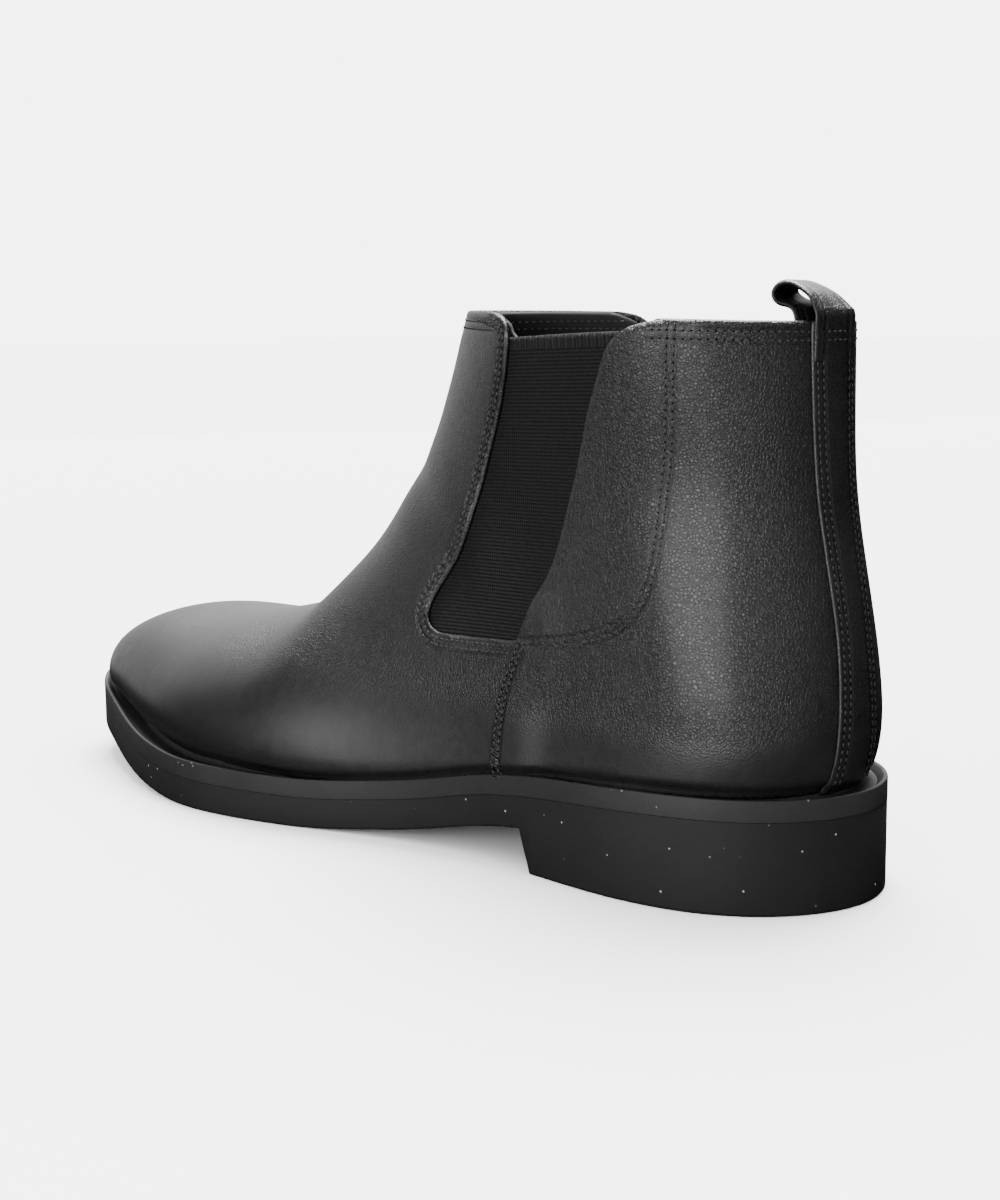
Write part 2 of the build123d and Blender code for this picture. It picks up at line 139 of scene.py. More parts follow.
# Sections of the last: ridge point, sole or back point, outer and inner half width, ridge
# offset, where it is widest, and fullness above and below that.
TIP = low(0.99, 4.4)
LAST = [
    (TIP, TIP, 0.0, 0.0, 4.0, 0.50, 0.12, 0.12),
    (low(0.978, 7.2), low(0.978, 1.5), 0.09, 0.22, 4.0, 0.50, 0.12, 0.12),
    (low(0.960, 12.6), low(0.960, -3.5), 0.27, 0.44, 4.2, 0.48, 0.12, 0.12),
    (low(0.932, 19.6), low(0.932, -9.5), 0.48, 0.66, 4.5, 0.47, 0.12, 0.12),
    (low(0.873, 27.0), low(0.873, -12.0), 0.66, 0.86, 4.8, 0.46, 0.12, 0.12),
    (low(0.775, 32.6), low(0.775, -12.0), 0.86, 0.99, 4.2, 0.44, 0.09, 0.18),
    (low(0.683, 39.4), low(0.687, -12.0), 0.98, 0.98, 3.5, 0.40, 0.0, 0.18),
    (low(0.613, 46.6), low(0.615, -12.0), 1.00, 0.92, 3.0, 0.34, -0.12, 0.18),
    (high(0.577, 0.376), low(0.533, -12.0), 0.95, 0.85, 2.5, 0.28, -0.17, 0.18),
    (high(0.552, 0.458), low(0.433, -12.0), 0.83, 0.76, 2.0, 0.23, -0.16, 0.18),
    (high(0.529, 0.531), low(0.317, -13.0), 1.06, 0.98, 1.5, 0.20, 0.0, 0.18),
    (high(0.510, 0.597), low(0.183, -14.0), 0.99, 0.97, 1.0, 0.19, 0.12, 0.18),
    (high(0.492, 0.657), low(0.067, -14.0), 0.98, 0.98, 0.5, 0.20, 0.12, 0.18),
    (high(0.483, 0.694), high(0.017, 0.01), 0.96, 0.97, 0.0, 0.24, 0.12, 0.12),
    (high(0.473, 0.752), high(0.008, 0.195), 0.92, 0.95, 0.0, 0.28, 0.06, 0.06),
    (high(0.462, 0.819), high(0.017, 0.407), 0.89, 0.94, 0.0, 0.34, 0.0, 0.0),
    (high(0.452, 0.888), high(0.031, 0.620), 0.90, 0.95, 0.0, 0.36, -0.08, 0.0),
    (high(0.442, 0.960), high(0.036, 0.814), 0.96, 0.99, 0.0, 0.36, -0.16, 0.0),
    (high(0.432, 1.027), high(0.038, 0.991), 1.00, 1.02, 0.0, 0.36, -0.2, 0.0),
    (high(0.422, 1.110), high(0.039, 1.160), 1.03, 1.05, 0.0, 0.36, -0.2, 0.0),
]
FIRST_HEEL_ROW = 10
ROWS = []
for i, (ridge, foot, outer, inner, lean, widest, above, below) in enumerate(LAST):
    lateral = outer * (LATERAL_HEEL if i >= FIRST_HEEL_ROW else LATERAL_BALL)
    medial = inner * (MEDIAL_HEEL if i >= FIRST_HEEL_ROW else MEDIAL_BALL)
    if i == 0:
        lateral, medial = -lean * MM, lean * MM
    ROWS.append([*ridge, *foot, lateral, medial, lean * MM, widest, above, below])
ROWS = np.array(ROWS)
spine = np.column_stack([ROWS[:, :4], (ROWS[:, 4] + ROWS[:, 5]) / 2])
KNOTS = np.concatenate([[0.0], np.cumsum(np.linalg.norm(np.diff(spine, axis=0), axis=1))])
KNOTS /= KNOTS[-1]


def last_at(v, phi):
    """Points of the last: v runs from the toe to the top, phi from the ridge round the outer side."""
    v, phi = np.broadcast_arrays(np.asarray(v, float), np.asarray(phi, float))
    row = curve_through(KNOTS, ROWS, np.clip(v.ravel(), 0, 1)).reshape(v.shape + (10,))
    xa, za, xb, zb, lateral, medial, lean, widest, above, below = np.moveaxis(row, -1, 0)
    c, s = np.cos(phi), np.sin(phi)
    cx, cz = xb + (xa - xb) * widest, zb + (za - zb) * widest
    upper = c > 0
    ex, ez = np.where(upper, xa - cx, xb - cx), np.where(upper, za - cz, zb - cz)
    centre = (medial - lateral) / 2
    full = np.where(upper, above, below)
    y = centre - s * (medial + lateral) / 2 * (1 + full * c * c)
    y = y + (lean - centre) * np.clip(c, 0, 1) ** 2
    return np.stack([cx + ex * np.abs(c), MIDDLE_Y + y, cz + ez * np.abs(c)], -1)


def last_normal(v, phi):
    """Outward unit normals of the last."""
    nudge = 1e-3
    along = last_at(np.minimum(v + nudge, 1), phi) - last_at(np.maximum(v - nudge, 0), phi)
    around = last_at(v, phi + nudge) - last_at(v, phi - nudge)
    normal = np.cross(around, along)
    size = np.linalg.norm(normal, axis=-1, keepdims=True)
    forward = np.array([-1.0, 0.0, 0.0])
    return np.where(size > 1e-12, normal / np.maximum(size, 1e-12), forward)


TABLE_V, TABLE_PHI = np.meshgrid(np.linspace(0.02, 1, 420), np.linspace(0.02, math.pi - 0.02, 160),
                                 indexing="ij")
TABLE = last_at(TABLE_V, TABLE_PHI)[..., [0, 2]].reshape(-1, 2)


def on_last(points):
    """(v, phi) on the outer side for side-view points, to the last's own accuracy."""
    points = np.asarray(points, float)
    near = [np.argmin(((TABLE - p) ** 2).sum(1)) for p in points]
    v, phi = TABLE_V.ravel()[near].copy(), TABLE_PHI.ravel()[near].copy()
    for _ in range(4):
        here = last_at(v, phi)[:, [0, 2]]
        dv = (last_at(v + 1e-4, phi)[:, [0, 2]] - here) / 1e-4
        dphi = (last_at(v, phi + 1e-4)[:, [0, 2]] - here) / 1e-4
        miss = points - here
        det = dv[:, 0] * dphi[:, 1] - dv[:, 1] * dphi[:, 0]
        v = v + (miss[:, 0] * dphi[:, 1] - miss[:, 1] * dphi[:, 0]) / det
        phi = phi + (dv[:, 0] * miss[:, 1] - dv[:, 1] * miss[:, 0]) / det
        v, phi = np.clip(v, 0, 1), np.clip(phi, 0.001, math.pi - 0.001)
    return v, phi


def smooth_line(points, spacing=0.6 * MM):
    """A side-view line through points, evenly sampled."""
    points = np.array(points, float)
    run = np.concatenate([[0], np.cumsum(np.linalg.norm(np.diff(points, axis=0), axis=1))])
    return curve_through(run, points, np.linspace(0, run[-1], max(3, int(run[-1] / spacing))))


def shifted(line, distance):
    """A side-view line moved sideways, to the left of its direction when distance is positive."""
    way = np.gradient(line, axis=0)
    way /= np.linalg.norm(way, axis=1)[:, None]
    return line + distance * np.column_stack([-way[:, 1], way[:, 0]])


def distance_inside(polygon, x, z):
    """Side-view distance to a closed outline, positive inside it."""
    polygon = np.array(polygon)
    flat = np.column_stack([x.ravel(), z.ravel()])
    best = np.full(len(flat), 1e9)
    inside = np.zeros(len(flat), bool)
    for a, b in zip(polygon, np.roll(polygon, -1, axis=0)):
        edge = b - a
        t = np.clip(((flat - a) @ edge) / max(edge @ edge, 1e-16), 0, 1)
        best = np.minimum(best, np.linalg.norm(flat - a - t[:, None] * edge, axis=1))
        crosses = (a[1] > flat[:, 1]) != (b[1] > flat[:, 1])
        if a[1] != b[1]:
            at = a[0] + (flat[:, 1] - a[1]) * (b[0] - a[0]) / (b[1] - a[1])
            inside ^= crosses & (flat[:, 0] < at)
    return np.where(inside, best, -best).reshape(x.shape)


def cut_to(v, phi, field):
    """Moves the grid points nearest an edge onto it. field(v, phi) is positive inside."""
    level = field(v, phi)
    best = np.full(v.shape, 1e9)
    move_v, move_phi = np.zeros_like(v), np.zeros_like(v)
    for axis, step in ((0, 1), (0, -1), (1, 1), (1, -1)):
        other = np.roll(level, -step, axis)
        crossing = (level > 0) != (other > 0)
        edge = [slice(None)] * 2
        edge[axis] = -1 if step == 1 else 0
        crossing[tuple(edge)] = False
        t = np.abs(level) / np.maximum(np.abs(level) + np.abs(other), 1e-15)
        dv, dphi = np.roll(v, -step, axis) - v, np.roll(phi, -step, axis) - phi
        take = crossing & (t <= 0.5) & (np.abs(level) < best)
        best = np.where(take, np.abs(level), best)
        move_v, move_phi = np.where(take, t * dv, move_v), np.where(take, t * dphi, move_phi)
    side = np.where(best < 1e9, 0, np.sign(level))
    return v + move_v, phi + move_phi, side


def faces_inside(side):
    """Faces of a cut grid: whole quads inside, and the inner half of a quad cut corner to corner."""
    rows, columns = side.shape
    index = np.arange(rows * columns).reshape(rows, columns)
    corners = np.stack([index[:-1, :-1], index[1:, :-1], index[1:, 1:], index[:-1, 1:]], -1).reshape(-1, 4)
    state = side.ravel()[corners]
    whole = (state >= 0).all(1) & (state > 0).any(1)
    faces = corners[whole].tolist()
    part = ((state < 0).sum(1) == 1) & (state > 0).any(1)
    for quad, mark in zip(corners[part].tolist(), state[part].tolist()):
        faces.append([corner for corner, m in zip(quad, mark) if m >= 0])
    return faces


def closed_piece(name, points, faces, merge, marks=None):
    """A smooth piece from points and faces: points closer than merge become one, faces turn
    outwards, and marks are named values on its points that its material reads."""
    mesh = bpy.data.meshes.new(name)
    mesh.from_pydata(points, [], faces)
    for key, values in (marks or {}).items():
        layer = mesh.attributes.new(key, "FLOAT", "POINT")
        layer.data.foreach_set("value", np.asarray(values, np.float32))
    mesh.validate()
    work = bmesh.new()
    work.from_mesh(mesh)
    bmesh.ops.remove_doubles(work, verts=work.verts, dist=merge)
    bmesh.ops.dissolve_degenerate(work, edges=work.edges, dist=merge / 4)
    bmesh.ops.recalc_face_normals(work, faces=work.faces)
    work.to_mesh(mesh)
    work.free()
    mesh.shade_smooth()
    piece = bpy.data.objects.new(name, mesh)
    bpy.context.collection.objects.link(piece)
    return piece


def shell(name, outer, inner, faces, marks):
    """A closed skin from matching outer and inner points, with a rim round its edges."""
    used = np.unique(np.concatenate([np.array(f) for f in faces]))
    place = np.full(len(outer), -1)
    place[used] = np.arange(len(used))
    points = np.concatenate([outer[used], inner[used]])
    shift = len(used)
    front = [[int(place[i]) for i in f] for f in faces]
    edges = dict.fromkeys((a, b) for face in front for a, b in zip(face, face[1:] + face[:1]))
    rim = [[b, a, a + shift, b + shift] for (a, b) in edges if (b, a) not in edges]
    back = [[i + shift for i in reversed(face)] for face in front]
    marks = {key: np.concatenate([values[used], values[used]]) for key, values in marks.items()}
    return closed_piece(name, points.tolist(), front + back + rim, 0.02 * MM, marks)


FAR_FROM_STITCHES = 50 * MM


def skin_panel(name, v_span, phi_span, counts, field, height, depth, stitch_rows=()):
    """A panel on the last. field is positive inside it; height and depth give how far its
    outer and inner faces stand off the last, at points with a distance from the edge."""
    v, phi = np.meshgrid(np.linspace(*v_span, counts[0]), np.linspace(*phi_span, counts[1]), indexing="ij")
    v, phi, side = cut_to(v, phi, field)
    base, normal = last_at(v, phi), last_normal(v, phi)
    edge = np.clip(np.where(side == 0, 0, field(v, phi)), 0, None)
    outer = base + normal * height(base, edge)[..., None]
    inner = base + normal * depth(base, edge)[..., None]
    flat = base.reshape(-1, 3)
    seam = np.full(len(flat), FAR_FROM_STITCHES)
    for row in stitch_rows:
        row = row[::2]
        for a, b in zip(row[:-1], row[1:]):
            way = b - a
            t = np.clip(((flat - a) @ way) / max(way @ way, 1e-16), 0, 1)
            seam = np.minimum(seam, np.linalg.norm(flat - a - t[:, None] * way, axis=1))
    return shell(name, outer.reshape(-1, 3), inner.reshape(-1, 3), faces_inside(side),
                 {"stitch_distance": seam})


def lift(line, side):
    """A side-view line laid on the outer (-1) or inner (1) side of the last, with its normals."""
    v, phi = on_last(line)
    phi = phi if side < 0 else -phi
    return last_at(v, phi), last_normal(v, phi)


BESIDE_GORE = [high(0.370, 1.030), high(0.345, 1.0165), high(0.328, 1.009), high(0.315, 0.996)]
BESIDE_GORE += [high(0.308, 0.972), high(0.309, 0.93), high(0.323, 0.815), high(0.340, 0.70)]
BESIDE_GORE += [high(0.356, 0.58), high(0.376, 0.45), high(0.400, 0.345)]
UNDER_GORE = [high(0.4035, 0.30), high(0.393, 0.272), high(0.373, 0.265), high(0.33, 0.268)]
SEAM_HEAD = high(0.283, 0.275)
SEAM = [SEAM_HEAD, high(0.293, 0.213), high(0.300, 0.15), high(0.303, 0.09), high(0.305, -0.2)]
UNDERLAP = 7.0 * MM
INTO_WELT = 1.3 * MM
vamp_edge = smooth_line(BESIDE_GORE + UNDER_GORE + [SEAM_HEAD])
seam_line = smooth_line(SEAM)
hidden_seam = seam_line + [UNDERLAP, 0]
vamp_outline = [*vamp_edge, *hidden_seam, high(1.2, -0.4), high(1.2, 1.2)]


def between_feather_and_top(point):
    """Distance above the feather line and below the top line, whichever is less."""
    above = point[..., 2] - (tread(point[..., 0]) + SOLE - INTO_WELT)
    below = top_line()(point[..., 0]) - point[..., 2]
    return np.minimum(above, below)


def vamp_field(v, phi):
    """Distance inside the vamp's edge, positive on the vamp."""
    point = last_at(v, phi)
    outline = distance_inside(vamp_outline, point[..., 0], point[..., 2])
    return np.minimum(outline, between_feather_and_top(point))


def rolled(edge, radius):
    """How far a rounded edge drops below the face at a distance from the edge."""
    t = np.clip(edge / radius, 0, 1)
    return radius * (1 - np.sqrt(1 - (1 - t) ** 2))


def smooth_step(t):
    """0 up to t = 0, 1 from t = 1, and smooth between."""
    t = np.clip(t, 0, 1)
    return t * t * (3 - 2 * t)


def near_top(point, reach):
    """1 at the top line, falling to 0 a reach below it."""
    return smooth_step(1 - (top_line()(point[..., 0]) - point[..., 2]) / reach)


LEATHER = 1.2 * MM
EDGE_ROUND = 0.55 * MM
TURN_IN = 0.65 * MM
TURN_REACH = 4 * MM
TUCK = 1.2 * MM
TUCK_REACH = 3 * MM
STITCH_ROWS = (1.5 * MM, 3.3 * MM)
TOP_ROWS = (2.6 * MM, 4.6 * MM)


def top_row(drop, phis):
    """A stitch line round the top line at a drop below it, as points and normals."""
    v = np.full(len(phis), 0.97)
    target = top_line(-drop)
    for _ in range(12):
        point = last_at(v, phis)
        slope = (last_at(v + 1e-4, phis)[:, 2] - point[:, 2]) / 1e-4
        v = np.clip(v + (target(point[:, 0]) - point[:, 2]) / np.maximum(slope, 1e-4), 0.5, 1)
    return last_at(v, phis), last_normal(v, phis)


def edge_phi(x, side):
    """Where round the top line a side-view x lies."""
    v, phi = on_last([(x, top_line(-3 * MM)(x))])
    return phi[0] if side < 0 else -phi[0]


def clear_of_top(line, drop):
    """The part of a side-view line that stays a drop below the top line."""
    return line[line[:, 1] < top_line(-drop)(line[:, 0])]


vamp_corner = HEEL_BACK - LENGTH * 0.322
vamp_rows = {}
for side in (-1, 1):
    for offset in STITCH_ROWS:
        vamp_rows[side, offset] = lift(clear_of_top(shifted(vamp_edge, -offset)[:-6], 1.6 * MM), side)
front_phis = np.linspace(edge_phi(vamp_corner - 3 * MM, -1), edge_phi(vamp_corner - 3 * MM, 1), 90)
vamp_top_rows = [top_row(drop, front_phis) for drop in TOP_ROWS]


def tucked(point):
    """How far the leather is drawn in just above the sole, where the lasting pulls it tight."""
    above = point[..., 2] - tread(point[..., 0]) - SOLE
    return -TUCK * smooth_step(1 - above / TUCK_REACH)


def on_wall(point):
    """True above the stretch that is drawn in, where an edge is open and rounded."""
    return point[..., 2] > tread(point[..., 0]) + SOLE + 2 * MM


def vamp_height(point, edge):
    return tucked(point) - rolled(edge, EDGE_ROUND) * on_wall(point)


def skin_depth(point, edge):
    """The leather's inner face, thicker at the top line where it is turned in."""
    return -LEATHER - TURN_IN * near_top(point, TURN_REACH) + tucked(point)


def principled(name, rough, specular):
    """A new material with its tree and its shader."""
    material = bpy.data.materials.new(name)
    material.use_nodes = True
    shader = material.node_tree.nodes["Principled BSDF"]
    shader.inputs["Roughness"].default_value = rough
    shader.inputs["Specular IOR Level"].default_value = specular
    return material, material.node_tree, shader


def boot_place(tree):
    """The boot's own coordinates, in metres."""
    return tree.nodes.new("ShaderNodeTexCoord").outputs["Object"]


def texture(tree, kind, **inputs):
    """A Noise or Voronoi texture in the boot's coordinates, with its inputs set by name."""
    made = tree.nodes.new("ShaderNodeTex" + kind)
    for key, value in inputs.items():
        made.inputs[key].default_value = value
    tree.links.new(boot_place(tree), made.inputs["Vector"])
    return made


def worked(tree, operation, *terms, kind="Math"):
    """The result of a math node on sockets and plain numbers."""
    made = tree.nodes.new("ShaderNode" + kind)
    made.operation = operation
    for socket, term in zip(made.inputs, terms):
        if isinstance(term, bpy.types.NodeSocket):
            tree.links.new(term, socket)
        else:
            socket.default_value = term
    return made.outputs[0]


def ramp(tree, source, stops):
    """A colour ramp from (position, grey or colour) stops."""
    made = tree.nodes.new("ShaderNodeValToRGB")
    elements = made.color_ramp.elements
    while len(elements) < len(stops):
        elements.new(0.5)
    for element, (position, value) in zip(elements, stops):
        element.position = position
        element.color = (*value, 1) if isinstance(value, tuple) else (value, value, value, 1)
    tree.links.new(source, made.inputs["Fac"])
    return made.outputs["Color"]


def step_between(tree, source, start, finish):
    """0 before start, 1 after finish, and smooth between."""
    made = tree.nodes.new("ShaderNodeMapRange")
    made.interpolation_type = "SMOOTHSTEP"
    made.inputs["From Min"].default_value = float(start)
    made.inputs["From Max"].default_value = float(finish)
    tree.links.new(source, made.inputs["Value"])
    return made.outputs["Result"]


def bump(tree, height, strength, distance, below=None):
    """A bump node, chained on an earlier one; its strength is a number or a socket."""
    made = tree.nodes.new("ShaderNodeBump")
    made.inputs["Distance"].default_value = distance
    if isinstance(strength, float):
        made.inputs["Strength"].default_value = strength
    else:
        tree.links.new(strength, made.inputs["Strength"])
    tree.links.new(height, made.inputs["Height"])
    if below is not None:
        tree.links.new(below, made.inputs["Normal"])
    return made.outputs["Normal"]


def black_calf(name, grain, rough):
    """Black calf: fine creased grain, soft gloss that varies, and sunk stitch lines."""
    material, tree, shader = principled(name, rough, 0.42)
    broad = texture(tree, "Noise", Scale=45.0, Detail=4.0, Roughness=0.55).outputs["Fac"]
    crease = texture(tree, "Noise", Scale=260.0, Detail=4.0, Roughness=0.7, Distortion=0.6).outputs["Fac"]
    warp = texture(tree, "Noise", Scale=900.0, Detail=3.0, Roughness=0.6).outputs["Color"]
    cells = texture(tree, "Voronoi", Scale=1150.0)
    cells.feature = "DISTANCE_TO_EDGE"
    wander = (1.1 * MM,) * 3
    uneven = worked(tree, "MULTIPLY_ADD", warp, wander, boot_place(tree), kind="VectorMath")
    tree.links.new(uneven, cells.inputs["Vector"])
    pebble = ramp(tree, cells.outputs["Distance"], [(0.0, 0.0), (0.22, 0.8), (0.5, 1.0)])
    axes = tree.nodes.new("ShaderNodeSeparateXYZ")
    tree.links.new(boot_place(tree), axes.inputs["Vector"])
    above_sole = step_between(tree, axes.outputs["Z"], SEAT + 6 * MM, SEAT + 20 * MM)
    behind_toe = step_between(tree, axes.outputs["X"], HEEL_BACK - 0.80 * LENGTH, HEEL_BACK - 0.62 * LENGTH)
    grained = worked(tree, "MULTIPLY_ADD", above_sole, behind_toe, 0.12)
    normal = bump(tree, broad, 0.25, 0.6 * MM)
    normal = bump(tree, crease, grained, 0.20 * MM * grain, normal)
    normal = bump(tree, pebble, grained, 0.12 * MM * grain, normal)
    seam = tree.nodes.new("ShaderNodeAttribute")
    seam.attribute_name = "stitch_distance"
    near = worked(tree, "MULTIPLY", seam.outputs["Fac"], 250.0)
    sunk = ramp(tree, near, [(0.0, 0.0), (0.10, 0.25), (0.30, 0.9), (0.6, 1.0)])
    tree.links.new(bump(tree, sunk, 0.8, 0.6 * MM, normal), shader.inputs["Normal"])
    tone = ramp(tree, broad, [(0.3, (0.0024, 0.0024, 0.0025)), (0.7, (0.0034, 0.0034, 0.0035))])
    tree.links.new(tone, shader.inputs["Base Color"])
    gloss = ramp(tree, crease, [(0.25, rough - 0.05), (0.75, rough + 0.07)])
    tree.links.new(gloss, shader.inputs["Roughness"])
    shader.inputs["Coat Weight"].default_value = 0.12
    shader.inputs["Coat Roughness"].default_value = 0.28
    return material


vamp_calf = black_calf("vamp_calf", 0.55, 0.40)
vamp_marks = [row[0] for row in (*vamp_rows.values(), *vamp_top_rows)]
vamp = skin_panel("vamp", (0.0, 0.985), (-math.pi, math.pi), (330, 250), vamp_field,
                  vamp_height, skin_depth, vamp_marks)
vamp.data.materials.append(vamp_calf)


def bends_at_ball(piece, *nodes):
    """The piece stands for the rear and forefoot nodes, which are hidden; its transform is baked in."""
    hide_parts(*nodes)
    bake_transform(piece)


bends_at_ball(vamp, "vamp_rear", "vamp_forefoot")

# ---- Quarters
# The two rear side panels of pebbled black calf. Each laps over the vamp's lower rear
# edge and covers the back of the gore with a soft unstitched front edge.
QUARTER_FRONT = [SEAM_HEAD, high(0.272, 0.35), high(0.255, 0.43), high(0.238, 0.55)]
QUARTER_FRONT += [high(0.223, 0.67), high(0.205, 0.80), high(0.190, 0.88), high(0.178, 0.938)]
QUARTER_FRONT += [high(0.163, 0.972), high(0.142, 0.990), high(0.118, 1.000), high(0.090, 1.012)]
GORE_STITCH = [high(0.1165, 1.0), high(0.120, 0.86), high(0.124, 0.73), high(0.130, 0.60)]
GORE_STITCH += [high(0.134, 0.50), high(0.142, 0.42), high(0.160, 0.355), high(0.190, 0.315)]
GORE_STITCH += [high(0.235, 0.287), high(0.279, 0.272)]
quarter_front = smooth_line(QUARTER_FRONT)
quarter_outline = [*quarter_front, high(-0.2, 1.2), high(-0.2, -0.4), *seam_line[::-1]]
gore_stitch = smooth_line(GORE_STITCH)
LAP = 1.1 * MM
GORE_ROW = 0.85 * MM


def quarter_field(v, phi):
    point = last_at(v, phi)
    outline = distance_inside(quarter_outline, point[..., 0], point[..., 2])
    return np.minimum(outline, between_feather_and_top(point))


def lapped(point):
    """1 beside the vamp seam, falling to 0 past the part that lies over the vamp."""
    flat = point[..., [0, 2]].reshape(-1, 2)
    near = np.full(len(flat), 1.0)
    for knot in seam_line[::3]:
        near = np.minimum(near, np.linalg.norm(flat - knot, axis=1))
    return smooth_step(1 - (near.reshape(point.shape[:-1]) - UNDERLAP - 1.5 * MM) / (12 * MM))


def quarter_height(point, edge):
    """The quarter's outer face, raised over the vamp, with a softly rolled front edge."""
    at_front = smooth_step((point[..., 2] - SEAM_HEAD[1]) / (10 * MM)) * (point[..., 0] < HEEL_BACK - 30 * MM)
    roll = rolled(edge, EDGE_ROUND) + at_front * rolled(edge, 3.5 * MM) * 0.25
    return LAP * lapped(point) - roll * on_wall(point) + tucked(point)


def quarter_depth(point, edge):
    return LAP * lapped(point) + skin_depth(point, edge) + 0.05 * MM


quarter_calf = black_calf("quarter_calf", 1.0, 0.43)
quarter_rows = {}
for side in (-1, 1):
    for offset in STITCH_ROWS:
        quarter_rows[side, offset, "seam"] = lift(shifted(seam_line, offset)[1:-1], side)
    for offset in (-GORE_ROW, GORE_ROW):
        line = clear_of_top(shifted(gore_stitch, offset), 1.2 * MM)
        quarter_rows[side, offset, "gore"] = lift(line[:-1], side)
quarter_top_rows = {}
for side in (-1, 1):
    phis = np.linspace(edge_phi(HEEL_BACK - 0.135 * LENGTH, side), math.copysign(math.pi, -side), 110)
    quarter_top_rows[side] = [top_row(drop, phis) for drop in TOP_ROWS]
for side, name, stands_for in ((-1, "quarter_outer", "quarter_lateral"),
                               (1, "quarter_inner", "quarter_medial")):
    marks = [row[0] for key, row in quarter_rows.items() if key[0] == side]
    marks += [row[0] for row in quarter_top_rows[side]]
    span = (1.0, math.pi - 0.002) if side < 0 else (-1.0, -math.pi + 0.002)
    quarter = skin_panel(name, (0.40, 0.985), span, (300, 170), quarter_field,
                         quarter_height, quarter_depth, marks)
    quarter.data.materials.append(quarter_calf)
    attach(quarter, "root")
    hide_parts(stands_for)

# ---- Gores
# Woven elastic panels let into each side, with fine cross ribs and a firmer selvedge
# at the top. Their edges are sewn under the vamp and the quarter.
GORE_TOP = [high(0.330, 0.955), high(0.110, 0.975)]
gore_outline = GORE_TOP + [high(0.113, 0.73), high(0.122, 0.51), high(0.145, 0.36), high(0.190, 0.285)]
gore_outline += [high(0.277, 0.235), high(0.385, 0.225), high(0.418, 0.28), high(0.417, 0.36)]
gore_outline += [high(0.392, 0.47), high(0.373, 0.59), high(0.358, 0.71), high(0.340, 0.83)]
GORE_SUNK = -1.5 * MM
GORE_THICK = 1.0 * MM
RIB_SLOPE = 0.034
SELVEDGE = 3.2 * MM


def gore_field(v, phi):
    point = last_at(v, phi)
    return distance_inside(gore_outline, point[..., 0], point[..., 2])


def ribbed(tree, source, pitch):
    """Ribs at a pitch along a source: a sine from -1 to 1."""
    return worked(tree, "SINE", worked(tree, "MULTIPLY", source, math.tau / pitch))


def woven_elastic():
    """Elastic webbing: ribs across, thinner warp ribs along, and a ribbed band at the top."""
    material, tree, shader = principled("woven_elastic", 0.8, 0.22)
    axes = tree.nodes.new("ShaderNodeSeparateXYZ")
    tree.links.new(boot_place(tree), axes.inputs["Vector"])
    along = axes.outputs["X"]
    level = worked(tree, "MULTIPLY_ADD", along, -RIB_SLOPE, axes.outputs["Z"])
    band_foot = high(0, 0.955)[1] - RIB_SLOPE * high(0.330, 0)[0] - SELVEDGE
    band = worked(tree, "GREATER_THAN", level, float(band_foot))
    ribs = tree.nodes.new("ShaderNodeMix")
    ribs.data_type = "FLOAT"
    tree.links.new(band, ribs.inputs[0])
    tree.links.new(ribbed(tree, level, 0.95 * MM), ribs.inputs[2])
    tree.links.new(ribbed(tree, along, 1.3 * MM), ribs.inputs[3])
    fuzz = texture(tree, "Noise", Scale=2600.0, Detail=2.0).outputs["Fac"]
    normal = bump(tree, ribs.outputs[0], 0.9, 0.36 * MM)
    normal = bump(tree, ribbed(tree, along, 0.85 * MM), 0.6, 0.14 * MM, normal)
    tree.links.new(bump(tree, fuzz, 0.5, 0.12 * MM, normal), shader.inputs["Normal"])
    # Painted shade: the colour follows the ribs' relief and is darkest in their troughs.
    shade = ramp(tree, ribs.outputs[0], [(0.0, 0.0012), (1.0, (0.0036, 0.0036, 0.0037))])
    tree.links.new(shade, shader.inputs["Base Color"])
    return material


elastic = woven_elastic()
for side, name, stands_for in ((-1, "gore_outer", "gore_lateral"), (1, "gore_inner", "gore_medial")):
    span = (0.45, 2.6) if side < 0 else (-0.45, -2.6)
    gore = skin_panel(name, (0.5, 0.985), span, (190, 120), gore_field,
                      lambda point, edge: GORE_SUNK - rolled(edge, 0.5 * MM),
                      lambda point, edge: np.full(edge.shape, GORE_SUNK - GORE_THICK))
    gore.data.materials.append(elastic)
    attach(gore, "root")
    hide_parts(stands_for)

# ---- Backstay
# A strip of the same calf over the closed back seam, from the sole to the top line. It
# is narrowest above the heel, and double stitched down both edges.
STAY_TOP = 8.0 * MM
STAY_WAIST = 6.6 * MM
WAIST_UP = 0.35
STAY = 1.1 * MM


def stay_half(z):
    """Half the strip's width at a height: least a third of the way up the shaft."""
    from_waist = (z - SEAT) / SHAFT - WAIST_UP
    away = np.maximum(from_waist / (1 - WAIST_UP), -from_waist / WAIST_UP)
    return STAY_WAIST + (STAY_TOP - STAY_WAIST) * smooth_step(away)


def stay_field(v, phi):
    point = last_at(v, phi)
    across = stay_half(point[..., 2]) - np.abs(point[..., 1] - MIDDLE_Y)
    return np.minimum(across, between_feather_and_top(point))


def stay_row(inset, side):
    """A stitch line down one edge of the backstay."""
    heights = np.linspace(SEAT + 3 * MM, SEAT + SHAFT - 3 * MM, 170)
    v_all = np.linspace(KNOTS[12], 0.99, 500)
    phi = np.full(len(v_all), math.pi)
    for _ in range(30):
        point = last_at(v_all, phi)
        want = MIDDLE_Y + side * (stay_half(point[:, 2]) - inset)
        slope = (last_at(v_all, phi + 1e-4)[:, 1] - point[:, 1]) / 1e-4
        phi = phi + np.clip((want - point[:, 1]) / slope, -0.05, 0.05)
    point, normal = last_at(v_all, phi), last_normal(v_all, phi)
    pick = [int(np.argmin(np.abs(point[:, 2] - h))) for h in heights]
    return point[pick], normal[pick]


